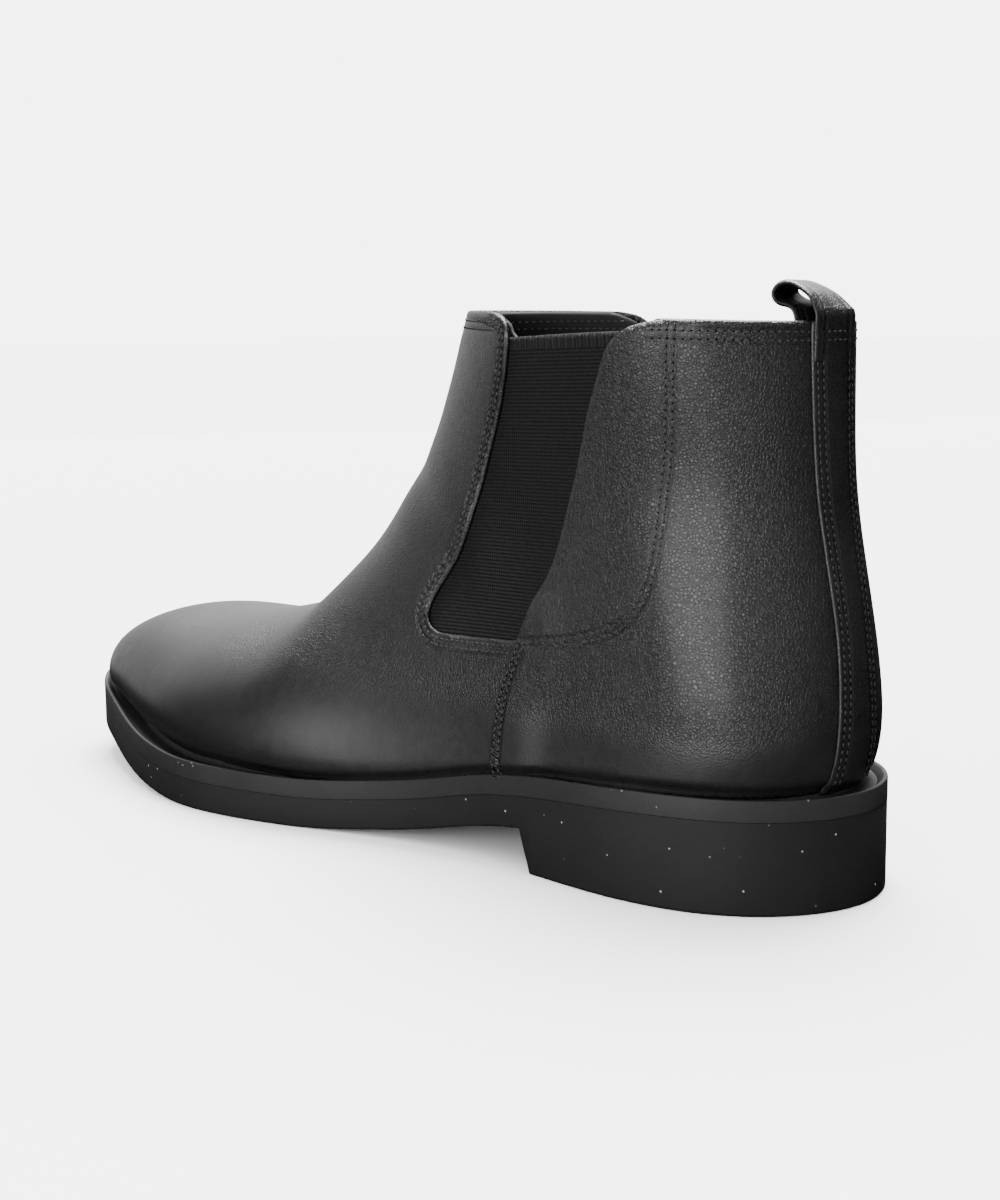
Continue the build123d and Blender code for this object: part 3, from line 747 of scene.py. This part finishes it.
stay_rows = {(side, inset): stay_row(inset, side) for side in (-1, 1) for inset in (1.3 * MM, 3.0 * MM)}
stay_span = (math.pi - 0.62, math.pi + 0.62)
backstay = skin_panel("back_strip", (0.55, 0.985), stay_span, (260, 60), stay_field,
                      lambda point, edge: STAY + 0.05 * MM - rolled(edge, 0.45 * MM) + tucked(point),
                      lambda point, edge: 0.08 * MM + tucked(point),
                      [row[0] for row in stay_rows.values()])
backstay.data.materials.append(black_calf("stay_calf", 0.6, 0.40))
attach(backstay, "root")
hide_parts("backstay")

# ---- Pull loop
# One folded calf strap. Its ends are sewn between the back strip and the lining, and
# the loop curls forward over the mouth.
loop_joint = next(j for j in frame["record"]["behaviour"]["joints"] if j["name"] == "pull_loop_swing")
LOOP_X, _, LOOP_Z = loop_joint["pos_m"]
STRAP_HALF = 7.8 * MM
STRAP_THICK = 1.5 * MM


def strap(name, path, half, thick, rows, across):
    """A flat strap along a side-view path, with rounded edges."""
    line = smooth_line([(LOOP_X + x * MM, LOOP_Z + z * MM) for x, z in path], 0.35 * MM)
    way = np.gradient(line, axis=0)
    way /= np.linalg.norm(way, axis=1)[:, None]
    out = np.column_stack([-way[:, 1], way[:, 0]])
    ring = [(t * half, thick / 2 * (1 - max(0.0, (abs(t) - 0.86) / 0.14) ** 2 * 0.8))
            for t in np.linspace(-1, 1, across)]
    loop = ring + [(y, -h) for y, h in reversed(ring)]
    points, faces = [], []
    for p, n in zip(line, out):
        lean = 0.9 * max(0.0, p[1] - LOOP_Z)
        points += [(p[0] + n[0] * h - lean * (y + half) / (2 * half), MIDDLE_Y + y, p[1] + n[1] * h)
                   for y, h in loop]
    size = len(loop)
    for i in range(len(line) - 1):
        for j in range(size):
            k = (j + 1) % size
            faces.append((i * size + j, i * size + k, (i + 1) * size + k, (i + 1) * size + j))
    faces += [tuple(range(size)), tuple(range((len(line) - 1) * size, len(line) * size))[::-1]]
    near = [min(abs(abs(p[1] - MIDDLE_Y) - half + inset) for inset in rows) for p in points]
    return closed_piece(name, points, faces, 0.01 * MM, {"stitch_distance": near})


stay_back = last_at(np.linspace(0.75, 1, 60), math.pi)


def stay_face(z, sunk):
    """Strap point whose outer face lies a depth below the back strip's face."""
    x = np.interp(LOOP_Z + z * MM, stay_back[:, 2], stay_back[:, 0])
    return (x + STAY - STRAP_THICK / 2 - sunk * MM - LOOP_X) / MM, z


LOOP_PATH = [stay_face(-12.0, 0.45), stay_face(-7.0, 0.12), stay_face(-3.0, 0.0), stay_face(-1.2, -0.1)]
LOOP_PATH += [(2.35, 0.5), (1.2, 2.9), (-1.6, 5.2), (-5.2, 6.5), (-8.4, 5.9), (-9.9, 3.9)]
LOOP_PATH += [(-8.9, 2.2), (-6.6, 1.5), (-4.3, 0.5), (-3.1, -2.2), (-2.9, -10.0)]
pull_loop = strap("pull_strap", LOOP_PATH, STRAP_HALF, STRAP_THICK, (1.3 * MM, 3.0 * MM), 33)
pull_loop.data.materials.append(black_calf("strap_calf", 0.7, 0.45))
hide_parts("pull_loop", "pull_loop_tail")
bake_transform(pull_loop)

# ---- Lining
# Thin matt lining leather: one piece in the vamp and one round the quarters, sewn
# together under the gores and turned in at the top line.
LINING_OUT = -2.75 * MM
LINING_IN = -3.65 * MM
mouth_dip = [high(0.352, 1.3), high(0.352, 1.022), high(0.333, 1.004), high(0.320, 0.990), high(0.3135, 0.97)]
mouth_dip += [high(0.3135, 0.957), high(0.22, 0.9655)]
mouth_dip += [high(0.168, 0.9705), high(0.150, 0.985), high(0.132, 0.993), high(0.126, 1.3)]
lining_split = [high(0.27, 1.25), high(0.32, -0.6), high(1.3, -0.6), high(1.3, 1.25)]


def lining_side(sign):
    """Positive inside the front lining (1) or the back one (-1), which meet at the split."""
    def field(v, phi):
        point = last_at(v, phi)
        split = distance_inside(lining_split, point[..., 0], point[..., 2]) * sign - 0.1 * MM
        above = point[..., 2] - (tread(point[..., 0]) + SOLE + 0.5 * MM)
        below = top_line(-0.15 * MM)(point[..., 0]) - point[..., 2]
        dip = -distance_inside(mouth_dip, point[..., 0], point[..., 2])
        return np.minimum(np.minimum(split, dip), np.minimum(above, below))
    return field


def lining_outer(point, edge):
    return LINING_OUT + 0.85 * MM * near_top(point, TURN_REACH) + tucked(point)


def lining_inner(point, edge):
    return LINING_IN + tucked(point) + rolled(np.maximum(edge, 0), 0.7 * MM) * near_top(point, 3 * MM)


def lining_leather():
    """Matt black lining leather with a fine nap."""
    material, tree, shader = principled("lining_leather", 0.75, 0.25)
    nap = texture(tree, "Noise", Scale=1500.0, Detail=4.0, Roughness=0.7).outputs["Fac"]
    cloud = texture(tree, "Noise", Scale=70.0, Detail=3.0).outputs["Fac"]
    tree.links.new(bump(tree, nap, 0.5, 0.15 * MM), shader.inputs["Normal"])
    tree.links.new(ramp(tree, cloud, [(0.3, 0.0012), (0.7, 0.0024)]), shader.inputs["Base Color"])
    return material


lining_calf = lining_leather()
vamp_lining = skin_panel("lining_front", (0.0, 0.985), (-math.pi, math.pi), (240, 200), lining_side(1),
                         lining_outer, lining_inner)
vamp_lining.data.materials.append(lining_calf)
bends_at_ball(vamp_lining, "vamp_lining_rear", "vamp_lining_forefoot")
quarter_lining = skin_panel("lining_back", (0.40, 0.985), (0.8, math.tau - 0.8), (200, 230), lining_side(-1),
                            lining_outer, lining_inner)
quarter_lining.data.materials.append(lining_calf)
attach(quarter_lining, "root")
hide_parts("quarter_lining")

# ---- Welt and outsole
# A moulded black rubber unit: the sole with its low heel, cross grooves underneath, and
# a smoother lighter band round the top edge with a groove where the upper sits.
LATERAL_SOLE = 55.0 * MM
MEDIAL_SOLE = 50.0 * MM
LATERAL_SEAT = 38.0 * MM
MEDIAL_SEAT = 37.0 * MM
TOE_IN = 4.0 * MM
BAND = 5.4 * MM
WELT_INNER = 12.6 * MM
BREAST = 0.27
BREAST_LEAN = 4.0 * MM
TREAD_RIM = 6.0 * MM
lateral_shares = [(0.02, 0.50, 0), (0.06, 0.80, 0), (0.15, 1.0, 0), (0.28, 0.66, 1), (0.42, 0.70, 1)]
lateral_shares += [(0.55, 0.91, 1), (0.65, 1.0, 1), (0.78, 0.873, 1), (0.88, 0.645, 1), (0.95, 0.43, 1)]
medial_shares = [(0.02, 0.50, 0), (0.06, 0.80, 0), (0.15, 1.0, 0), (0.28, 0.68, 1), (0.42, 0.65, 1)]
medial_shares += [(0.55, 0.77, 1), (0.65, 0.95, 1), (0.78, 1.0, 1), (0.88, 0.85, 1), (0.95, 0.62, 1)]


def sole_edge():
    """The sole's closed outline as a dense line: heel, outer side, toe, inner side."""
    near = [(s, -w * (LATERAL_SEAT, LATERAL_SOLE)[k]) for s, w, k in lateral_shares]
    far = [(s, w * (MEDIAL_SEAT, MEDIAL_SOLE)[k]) for s, w, k in medial_shares]
    ring = [(0.0, 0.0)] + near + [(1.0, TOE_IN)] + far[::-1]
    points = np.array([(HEEL_BACK - LENGTH * s, MIDDLE_Y + y) for s, y in ring])
    wrapped = np.vstack([points[-4:], points, points[:5]])
    run = np.concatenate([[0], np.cumsum(np.linalg.norm(np.diff(wrapped, axis=0), axis=1))])
    return curve_through(run, wrapped, np.linspace(run[4], run[4 + len(points)], 2600)[:-1])


EDGE = sole_edge()
BREAST_X = HEEL_BACK - LENGTH * BREAST
GROOVE_WIDTH, GROOVE_PITCH, GROOVE_DEPTH = 2.6 * MM, 8.0 * MM, 1.6 * MM
GROOVED = ((0.03, 0.25), (0.46, 0.90))


def sole_stations():
    """(x, depth) down the sole: even, with pairs at each groove's walls and at the breast."""
    turn = np.linspace(0, math.pi, 150)[1:-1]
    stations = [(HEEL_BACK - LENGTH / 2 + LENGTH / 2 * math.cos(t), 0) for t in turn]
    wall, floor_edge = GROOVE_WIDTH / 2, GROOVE_WIDTH / 2 - 0.25 * MM
    for first, last in GROOVED:
        for i in range(int(LENGTH * (last - first) / GROOVE_PITCH) + 1):
            x = HEEL_BACK - LENGTH * first - i * GROOVE_PITCH
            stations = [s for s in stations if abs(s[0] - x) > wall + 0.3 * MM or s[1]]
            for way in (1, -1):
                stations += [(x + way * wall, 0.2 * GROOVE_DEPTH), (x + way * floor_edge, GROOVE_DEPTH)]
    front, rear = BREAST_X, BREAST_X + BREAST_LEAN
    stations = [s for s in stations if not front - 1 * MM < s[0] < rear + 1 * MM]
    stations += [(rear + 0.6 * MM, 0), (rear, 0), (front, 0), (front - 0.6 * MM, 0)]
    return np.array(sorted(stations, reverse=True))


def edge_at(xs, inset):
    """Outer and inner edge points of the outline at x stations, moved inwards by inset."""
    way = np.gradient(EDGE, axis=0)
    way /= np.linalg.norm(way, axis=1)[:, None]
    inward = np.column_stack([way[:, 1], -way[:, 0]])
    if (inward * (EDGE.mean(0) - EDGE)).sum() < 0:
        inward = -inward
    heel, toe = int(np.argmax(EDGE[:, 0])), int(np.argmin(EDGE[:, 0]))
    order = np.arange(heel, heel + len(EDGE)) % len(EDGE)
    turn = (toe - heel) % len(EDGE)
    sides = []
    for run in (order[:turn + 1], np.append(order[turn:], order[0])[::-1]):
        moved = EDGE[run] + inset * inward[run]
        sides.append(np.column_stack([np.interp(-xs, -EDGE[run, 0], moved[:, k]) for k in (0, 1)]))
    return sorted(sides, key=lambda side: side[:, 1].mean())


def ring_stack(name, xs, rings, closed):
    """A solid from rings round the outline: each ring is (inset, height for each station)."""
    heel, toe = EDGE[np.argmax(EDGE[:, 0])], EDGE[np.argmin(EDGE[:, 0])]
    points, faces = [], []
    for inset, height in rings:
        near, far = edge_at(xs, inset)
        plan = np.vstack([heel - [inset, 0], near, toe + [inset, 0], far[::-1]])
        z = np.concatenate([[height[0]], height, [height[-1]], height[::-1]])
        points.append(np.column_stack([plan, z]))
    count = 2 * len(xs) + 2
    for a in range(len(rings) if closed else len(rings) - 1):
        b = (a + 1) % len(rings)
        for j in range(count):
            k = (j + 1) % count
            faces.append((a * count + j, a * count + k, b * count + k, b * count + j))
    if not closed:
        for level in (0, len(rings) - 1):
            for i in range(len(xs) + 1):
                around = (i, i + 1, (count - i - 1) % count, (count - i) % count)
                quad = [level * count + q for q in dict.fromkeys(around)]
                if len(quad) > 2:
                    faces.append(tuple(quad if level == 0 else reversed(quad)))
    made = closed_piece(name, np.vstack(points).tolist(), faces, 0.005 * MM)
    made.data.set_sharp_from_angle(angle=math.radians(38))
    return made


xs, groove = sole_stations().T
under = tread(xs)
ground = np.where(xs >= BREAST_X + BREAST_LEAN, 0.0, under)
band_foot = under + SOLE - BAND
feather = under + SOLE
outsole = ring_stack("sole_and_heel", xs, [
    (9.0 * MM, ground + groove), (TREAD_RIM + 0.05 * MM, ground + groove), (TREAD_RIM, ground),
    (1.0 * MM, ground), (0.35 * MM, ground + 0.15 * MM), (0.08 * MM, ground + 0.5 * MM),
    (0.0, ground + 1.0 * MM), (0.0, band_foot - 0.15 * MM), (0.06 * MM, band_foot - 0.03 * MM),
    (0.2 * MM, band_foot), (9.0 * MM, band_foot)], closed=False)


def moulded_rubber(name, dark, light, rough, speckle):
    """Matt moulded rubber with a fine texture and a scatter of pale dust specks."""
    material, tree, shader = principled(name, rough, 0.2)
    fine = texture(tree, "Noise", Scale=1400.0, Detail=3.0, Roughness=0.7).outputs["Fac"]
    cloud = texture(tree, "Noise", Scale=60.0, Detail=4.0).outputs["Fac"]
    specks = texture(tree, "Voronoi", Scale=330.0).outputs["Distance"]
    rare = texture(tree, "Noise", Scale=210.0, Detail=0.0).outputs["Fac"]
    dot = ramp(tree, specks, [(0.0, 1.0), (0.07, 1.0), (0.11, 0.0)])
    some = ramp(tree, rare, [(0.0, 0.0), (0.58, 0.0), (0.66, speckle)])
    mix = tree.nodes.new("ShaderNodeMix")
    mix.data_type = "RGBA"
    tree.links.new(worked(tree, "MULTIPLY", dot, some), mix.inputs[0])
    tree.links.new(ramp(tree, cloud, [(0.3, dark), (0.7, light)]), mix.inputs[6])
    mix.inputs[7].default_value = (0.16, 0.16, 0.16, 1)
    tree.links.new(mix.outputs[2], shader.inputs["Base Color"])
    tree.links.new(bump(tree, fine, 0.45, 0.16 * MM), shader.inputs["Normal"])
    return material


outsole.data.materials.append(moulded_rubber("sole_rubber", (0.0021, 0.0021, 0.0022),
                                             (0.0027, 0.0027, 0.0028), 0.7, 0.6))
bends_at_ball(outsole, "outsole_rear", "outsole_forefoot")
welt = ring_stack("welt_band", xs, [
    (0.2 * MM, band_foot + 0.02 * MM), (-0.06 * MM, band_foot + 0.12 * MM), (-0.06 * MM, feather - 0.5 * MM),
    (0.06 * MM, feather - 0.15 * MM), (0.3 * MM, feather), (0.9 * MM, feather),
    (1.25 * MM, feather - 0.25 * MM), (1.7 * MM, feather - 0.6 * MM), (2.6 * MM, feather - 1.6 * MM),
    (6.5 * MM, feather - 1.6 * MM), (7.0 * MM, feather - 0.05 * MM),
    (WELT_INNER, feather - 0.05 * MM), (WELT_INNER, band_foot + 0.02 * MM)], closed=True)
welt.data.materials.append(moulded_rubber("welt_rubber", (0.0042, 0.0042, 0.0043),
                                          (0.0056, 0.0056, 0.0057), 0.6, 0.3))
bends_at_ball(welt, "welt_rear", "welt_forefoot")

# ---- Stitches
# Black bonded thread: paired lock-stitch rows along the vamp edge, the lapped seam, the
# gore's rear edge, the back strip and the top line. Each stitch dips into its holes.
STITCH_PITCH = 1.9 * MM
STITCH_LENGTH = 1.45 * MM
THREAD = 0.6 * MM
HOLE = 0.6 * MM
PAST_ANY_LINE = 10.0


def stitch_tree():
    """Geometry nodes: even points along each line, a short thread on each, laid along it."""
    tree = bpy.data.node_groups.new("stitching", "GeometryNodeTree")
    tree.interface.new_socket("Geometry", in_out="INPUT", socket_type="NodeSocketGeometry")
    for label in ("Start", "Pitch", "Length", "Thread"):
        tree.interface.new_socket(label, in_out="INPUT", socket_type="NodeSocketFloat")
    tree.interface.new_socket("Material", in_out="INPUT", socket_type="NodeSocketMaterial")
    tree.interface.new_socket("Geometry", in_out="OUTPUT", socket_type="NodeSocketGeometry")
    add = tree.nodes.new
    link = tree.links.new
    given, result = add("NodeGroupInput"), add("NodeGroupOutput")
    curve, even = add("GeometryNodeMeshToCurve"), add("GeometryNodeResampleCurve")
    even.mode = "LENGTH"
    link(given.outputs["Geometry"], curve.inputs[0])
    trim = add("GeometryNodeTrimCurve")
    trim.mode = "LENGTH"
    from_length, to_length = trim.inputs[4], trim.inputs[5]
    to_length.default_value = PAST_ANY_LINE
    link(curve.outputs[0], trim.inputs["Curve"])
    link(given.outputs["Start"], from_length)
    link(trim.outputs[0], even.inputs["Curve"])
    link(given.outputs["Pitch"], even.inputs["Length"])
    ball = add("GeometryNodeMeshUVSphere")
    ball.inputs["Segments"].default_value = 8
    ball.inputs["Rings"].default_value = 6
    ball.inputs["Radius"].default_value = 0.5
    size = add("ShaderNodeCombineXYZ")
    for socket, label in ((0, "Length"), (1, "Thread"), (2, "Thread")):
        link(given.outputs[label], size.inputs[socket])
    shaped = add("GeometryNodeTransform")
    link(ball.outputs["Mesh"], shaped.inputs["Geometry"])
    link(size.outputs[0], shaped.inputs["Scale"])
    along, up = add("GeometryNodeInputTangent"), add("GeometryNodeInputNamedAttribute")
    up.data_type = "FLOAT_VECTOR"
    up.inputs["Name"].default_value = "face_normal"
    first, second = add("FunctionNodeAlignEulerToVector"), add("FunctionNodeAlignEulerToVector")
    first.axis, second.axis = "X", "Z"
    second.pivot_axis = "X"
    link(along.outputs[0], first.inputs["Vector"])
    link(first.outputs[0], second.inputs["Rotation"])
    link(up.outputs["Attribute"], second.inputs["Vector"])
    place = add("GeometryNodeInstanceOnPoints")
    link(even.outputs[0], place.inputs["Points"])
    link(shaped.outputs[0], place.inputs["Instance"])
    link(second.outputs[0], place.inputs["Rotation"])
    real, finish = add("GeometryNodeRealizeInstances"), add("GeometryNodeSetMaterial")
    link(place.outputs[0], real.inputs[0])
    link(real.outputs[0], finish.inputs["Geometry"])
    link(given.outputs["Material"], finish.inputs["Material"])
    link(finish.outputs[0], result.inputs[0])
    return tree


def sewing_thread():
    """Black bonded thread with a fine twist."""
    material, tree, shader = principled("sewing_thread", 0.62, 0.5)
    twist = texture(tree, "Noise", Scale=3500.0, Detail=2.0).outputs["Fac"]
    tree.links.new(bump(tree, twist, 0.6, 0.1 * MM), shader.inputs["Normal"])
    tree.links.new(ramp(tree, twist, [(0.3, 0.003), (0.7, 0.008)]), shader.inputs["Base Color"])
    return material


def painted_hole_shade():
    """Painted shade: a near-black matt colour for the dark inside the needle holes."""
    material, tree, shader = principled("painted_hole_shade", 1.0, 0.0)
    fray = texture(tree, "Noise", Scale=3000.0).outputs["Fac"]
    tree.links.new(ramp(tree, fray, [(0.3, 0.0004), (0.7, 0.0008)]), shader.inputs["Base Color"])
    return material


STITCHING = stitch_tree()
thread_black = sewing_thread()
hole_shade_material = painted_hole_shade()


def sew(name, lines):
    """Meshes of stitches, and of near-black beads of painted shade for the holes between them, along lines of
    (points, normals).
    """
    laid_along(name, lines, 0.0, STITCH_LENGTH, THREAD, thread_black)
    # The beads between the stitches are painted shade: dark dots for the shadow inside the needle holes.
    laid_along(name + "_holes", lines, STITCH_PITCH / 2, HOLE, HOLE * 0.9, hole_shade_material)


def laid_along(name, lines, start, length, width, material):
    """One mesh of short beads along lines, the first one a distance from the line's start."""
    points, edges, normals = [], [], []
    for line, normal in lines:
        first = len(points)
        points += line.tolist()
        normals += normal.tolist()
        edges += [(i, i + 1) for i in range(first, len(points) - 1)]
    mesh = bpy.data.meshes.new(name + "_line")
    mesh.from_pydata(points, edges, [])
    layer = mesh.attributes.new("face_normal", "FLOAT_VECTOR", "POINT")
    layer.data.foreach_set("vector", np.array(normals, np.float32).ravel())
    source = bpy.data.objects.new(name + "_line", mesh)
    bpy.context.collection.objects.link(source)
    modifier = source.modifiers.new("stitches", "NODES")
    modifier.node_group = STITCHING
    values = {"Start": start, "Pitch": STITCH_PITCH, "Length": length, "Thread": width, "Material": material}
    for socket in STITCHING.interface.items_tree:
        if socket.in_out == "INPUT" and socket.name in values:
            modifier[socket.identifier] = values[socket.name]
    bpy.context.view_layer.update()
    ready = source.evaluated_get(bpy.context.evaluated_depsgraph_get())
    made = bpy.data.objects.new(name, bpy.data.meshes.new_from_object(ready))
    bpy.context.collection.objects.link(made)
    bpy.data.objects.remove(source)
    made.data.shade_smooth()
    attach(made, "root")


def raised(rows, height):
    """The rows moved out from the last, to lie half sunk in the leather."""
    return [(points + normals * height, normals) for points, normals in rows]


SINK = -0.08 * MM
LINING_FACE = 3.62 * MM
back_top_rows = [row for rows in quarter_top_rows.values() for row in rows]
sew("vamp_stitches", raised([*vamp_rows.values(), *vamp_top_rows], SINK))
sew("gore_stitches", raised([row for key, row in quarter_rows.items() if key[2] == "gore"], SINK))
sew("seam_stitches", raised([row for key, row in quarter_rows.items() if key[2] == "seam"], LAP + SINK))
sew("back_strip_stitches", raised(stay_rows.values(), STAY + SINK))
sew("top_stitches", raised(back_top_rows, SINK))
sew("lining_stitches", [(points - normals * LINING_FACE, -normals)
                        for points, normals in (*vamp_top_rows, *back_top_rows)])
strap_phis = np.linspace(math.pi - 0.2, math.pi + 0.2, 30)
sew("strap_stitches", raised([top_row(drop, strap_phis) for drop in TOP_ROWS], STAY + 0.1 * MM))

# ---- Sock liner and hidden pieces
# The leather sock shows inside the mouth, glued on its foam. Fibre board, cork, riveted
# steel shank, and the stiff counter and toe puff are closed in by the upper and the sole.


def plain_stock(name, dark, light, rough, scale, metal=0.0):
    """A hidden piece's stock: mottled colour and a fine surface."""
    material, tree, shader = principled(name, rough, 0.5)
    grain = texture(tree, "Noise", Scale=scale, Detail=4.0, Roughness=0.65).outputs["Fac"]
    tree.links.new(ramp(tree, grain, [(0.35, dark), (0.65, light)]), shader.inputs["Base Color"])
    tree.links.new(bump(tree, grain, 0.4, 0.2 * MM), shader.inputs["Normal"])
    shader.inputs["Metallic"].default_value = metal
    return material


STOCK = {
    "sock_liner": lining_calf,
    "footbed": plain_stock("latex_foam", (0.16, 0.16, 0.17), (0.24, 0.24, 0.25), 0.9, 900.0),
    "insole_board": plain_stock("fibre_board", (0.36, 0.26, 0.16), (0.48, 0.36, 0.23), 0.85, 500.0),
    "bottom_filler": plain_stock("ground_cork", (0.22, 0.13, 0.07), (0.45, 0.30, 0.17), 0.9, 420.0),
    "shank": plain_stock("spring_steel", (0.42, 0.42, 0.43), (0.55, 0.55, 0.56), 0.35, 300.0, 1.0),
    "heel_counter": plain_stock("counter_board", (0.52, 0.46, 0.38), (0.62, 0.56, 0.47), 0.7, 350.0),
}
STOCK["toe_puff"] = STOCK["heel_counter"]
for key, cad in frame["nodes"].items():
    for stem, stock in STOCK.items():
        if key.startswith(stem):
            cad.data.materials.clear()
            cad.data.materials.append(stock)

# ---- Floor, light and camera
# The boot stands on a wide sheet of pale paper under an even white sky. A broad sun and
# three soft boxes, behind, beside and low in front, shape the leather; the camera looks
# at the outer side from behind.
bpy.ops.mesh.primitive_plane_add(size=14, location=(0, 0, 0))
floor = bpy.context.object
floor.name = "pale_floor"
paper, paper_tree, paper_shader = principled("pale_paper", 0.95, 0.0)
paper_grain = paper_tree.nodes.new("ShaderNodeTexNoise")
paper_grain.inputs["Scale"].default_value = 3.0
paper_tree.links.new(ramp(paper_tree, paper_grain.outputs["Fac"], [(0.3, 0.475), (0.7, 0.485)]),
                     paper_shader.inputs["Base Color"])
floor.data.materials.append(paper)
floor.visible_glossy = False

world = bpy.data.worlds.new("studio")
bpy.context.scene.world = world
world.use_nodes = True
sky = world.node_tree.nodes["Background"]
sky.inputs["Color"].default_value = (1, 1, 1, 1)
sky.inputs["Strength"].default_value = 5.8
world.cycles_visibility.glossy = False


def soft_box(name, place, aim, size, power):
    """A rectangular soft light pointing at a spot."""
    lamp = bpy.data.lights.new(name, "AREA")
    lamp.shape = "RECTANGLE"
    lamp.size, lamp.size_y = size
    lamp.energy = power
    made = bpy.data.objects.new(name, lamp)
    made.location = place
    made.rotation_euler = (Vector(aim) - Vector(place)).to_track_quat("-Z", "Y").to_euler()
    made.visible_camera = False
    bpy.context.collection.objects.link(made)


soft_box("back_box", (-1.4, 0.8, 0.6), (0, 0, 0.05), (3.0, 1.6), 17.0)
soft_box("fill_box", (1.2, -1.5, 0.7), (0, 0, 0.07), (3.0, 1.6), 9.0)
soft_box("key_box", (0.16, -1.1, 0.22), (0.05, 0, 0.06), (0.8, 0.45), 20.0)
overhead = bpy.data.lights.new("overhead", "SUN")
overhead.energy = 20.0
overhead.angle = math.radians(40)
overhead_lamp = bpy.data.objects.new("overhead", overhead)
overhead_lamp.rotation_euler = (math.radians(-20), math.radians(-16), 0)
bpy.context.collection.objects.link(overhead_lamp)

CAMERA_TURN = math.radians(44.965)
CAMERA_RISE = math.radians(8.214)
CAMERA_ROLL = math.radians(-0.356)
CAMERA_DISTANCE = 565.1 * MM
target = Vector((HEEL_BACK - 123.58 * MM, MIDDLE_Y, 62.68 * MM))
camera_data = bpy.data.cameras.new("camera")
camera_data.sensor_fit = "HORIZONTAL"
camera_data.sensor_width = 36.0
camera_data.lens = 72.4464
camera_data.clip_start = 0.01
camera = bpy.data.objects.new("camera", camera_data)
level = math.cos(CAMERA_RISE)
back = Vector((math.sin(CAMERA_TURN) * level, -math.cos(CAMERA_TURN) * level, math.sin(CAMERA_RISE)))
camera.location = target + back * CAMERA_DISTANCE
facing = back.to_track_quat("Z", "Y").to_matrix() @ Matrix.Rotation(CAMERA_ROLL, 3, "Z")
camera.rotation_euler = facing.to_euler()
bpy.context.collection.objects.link(camera)
bpy.context.scene.camera = camera
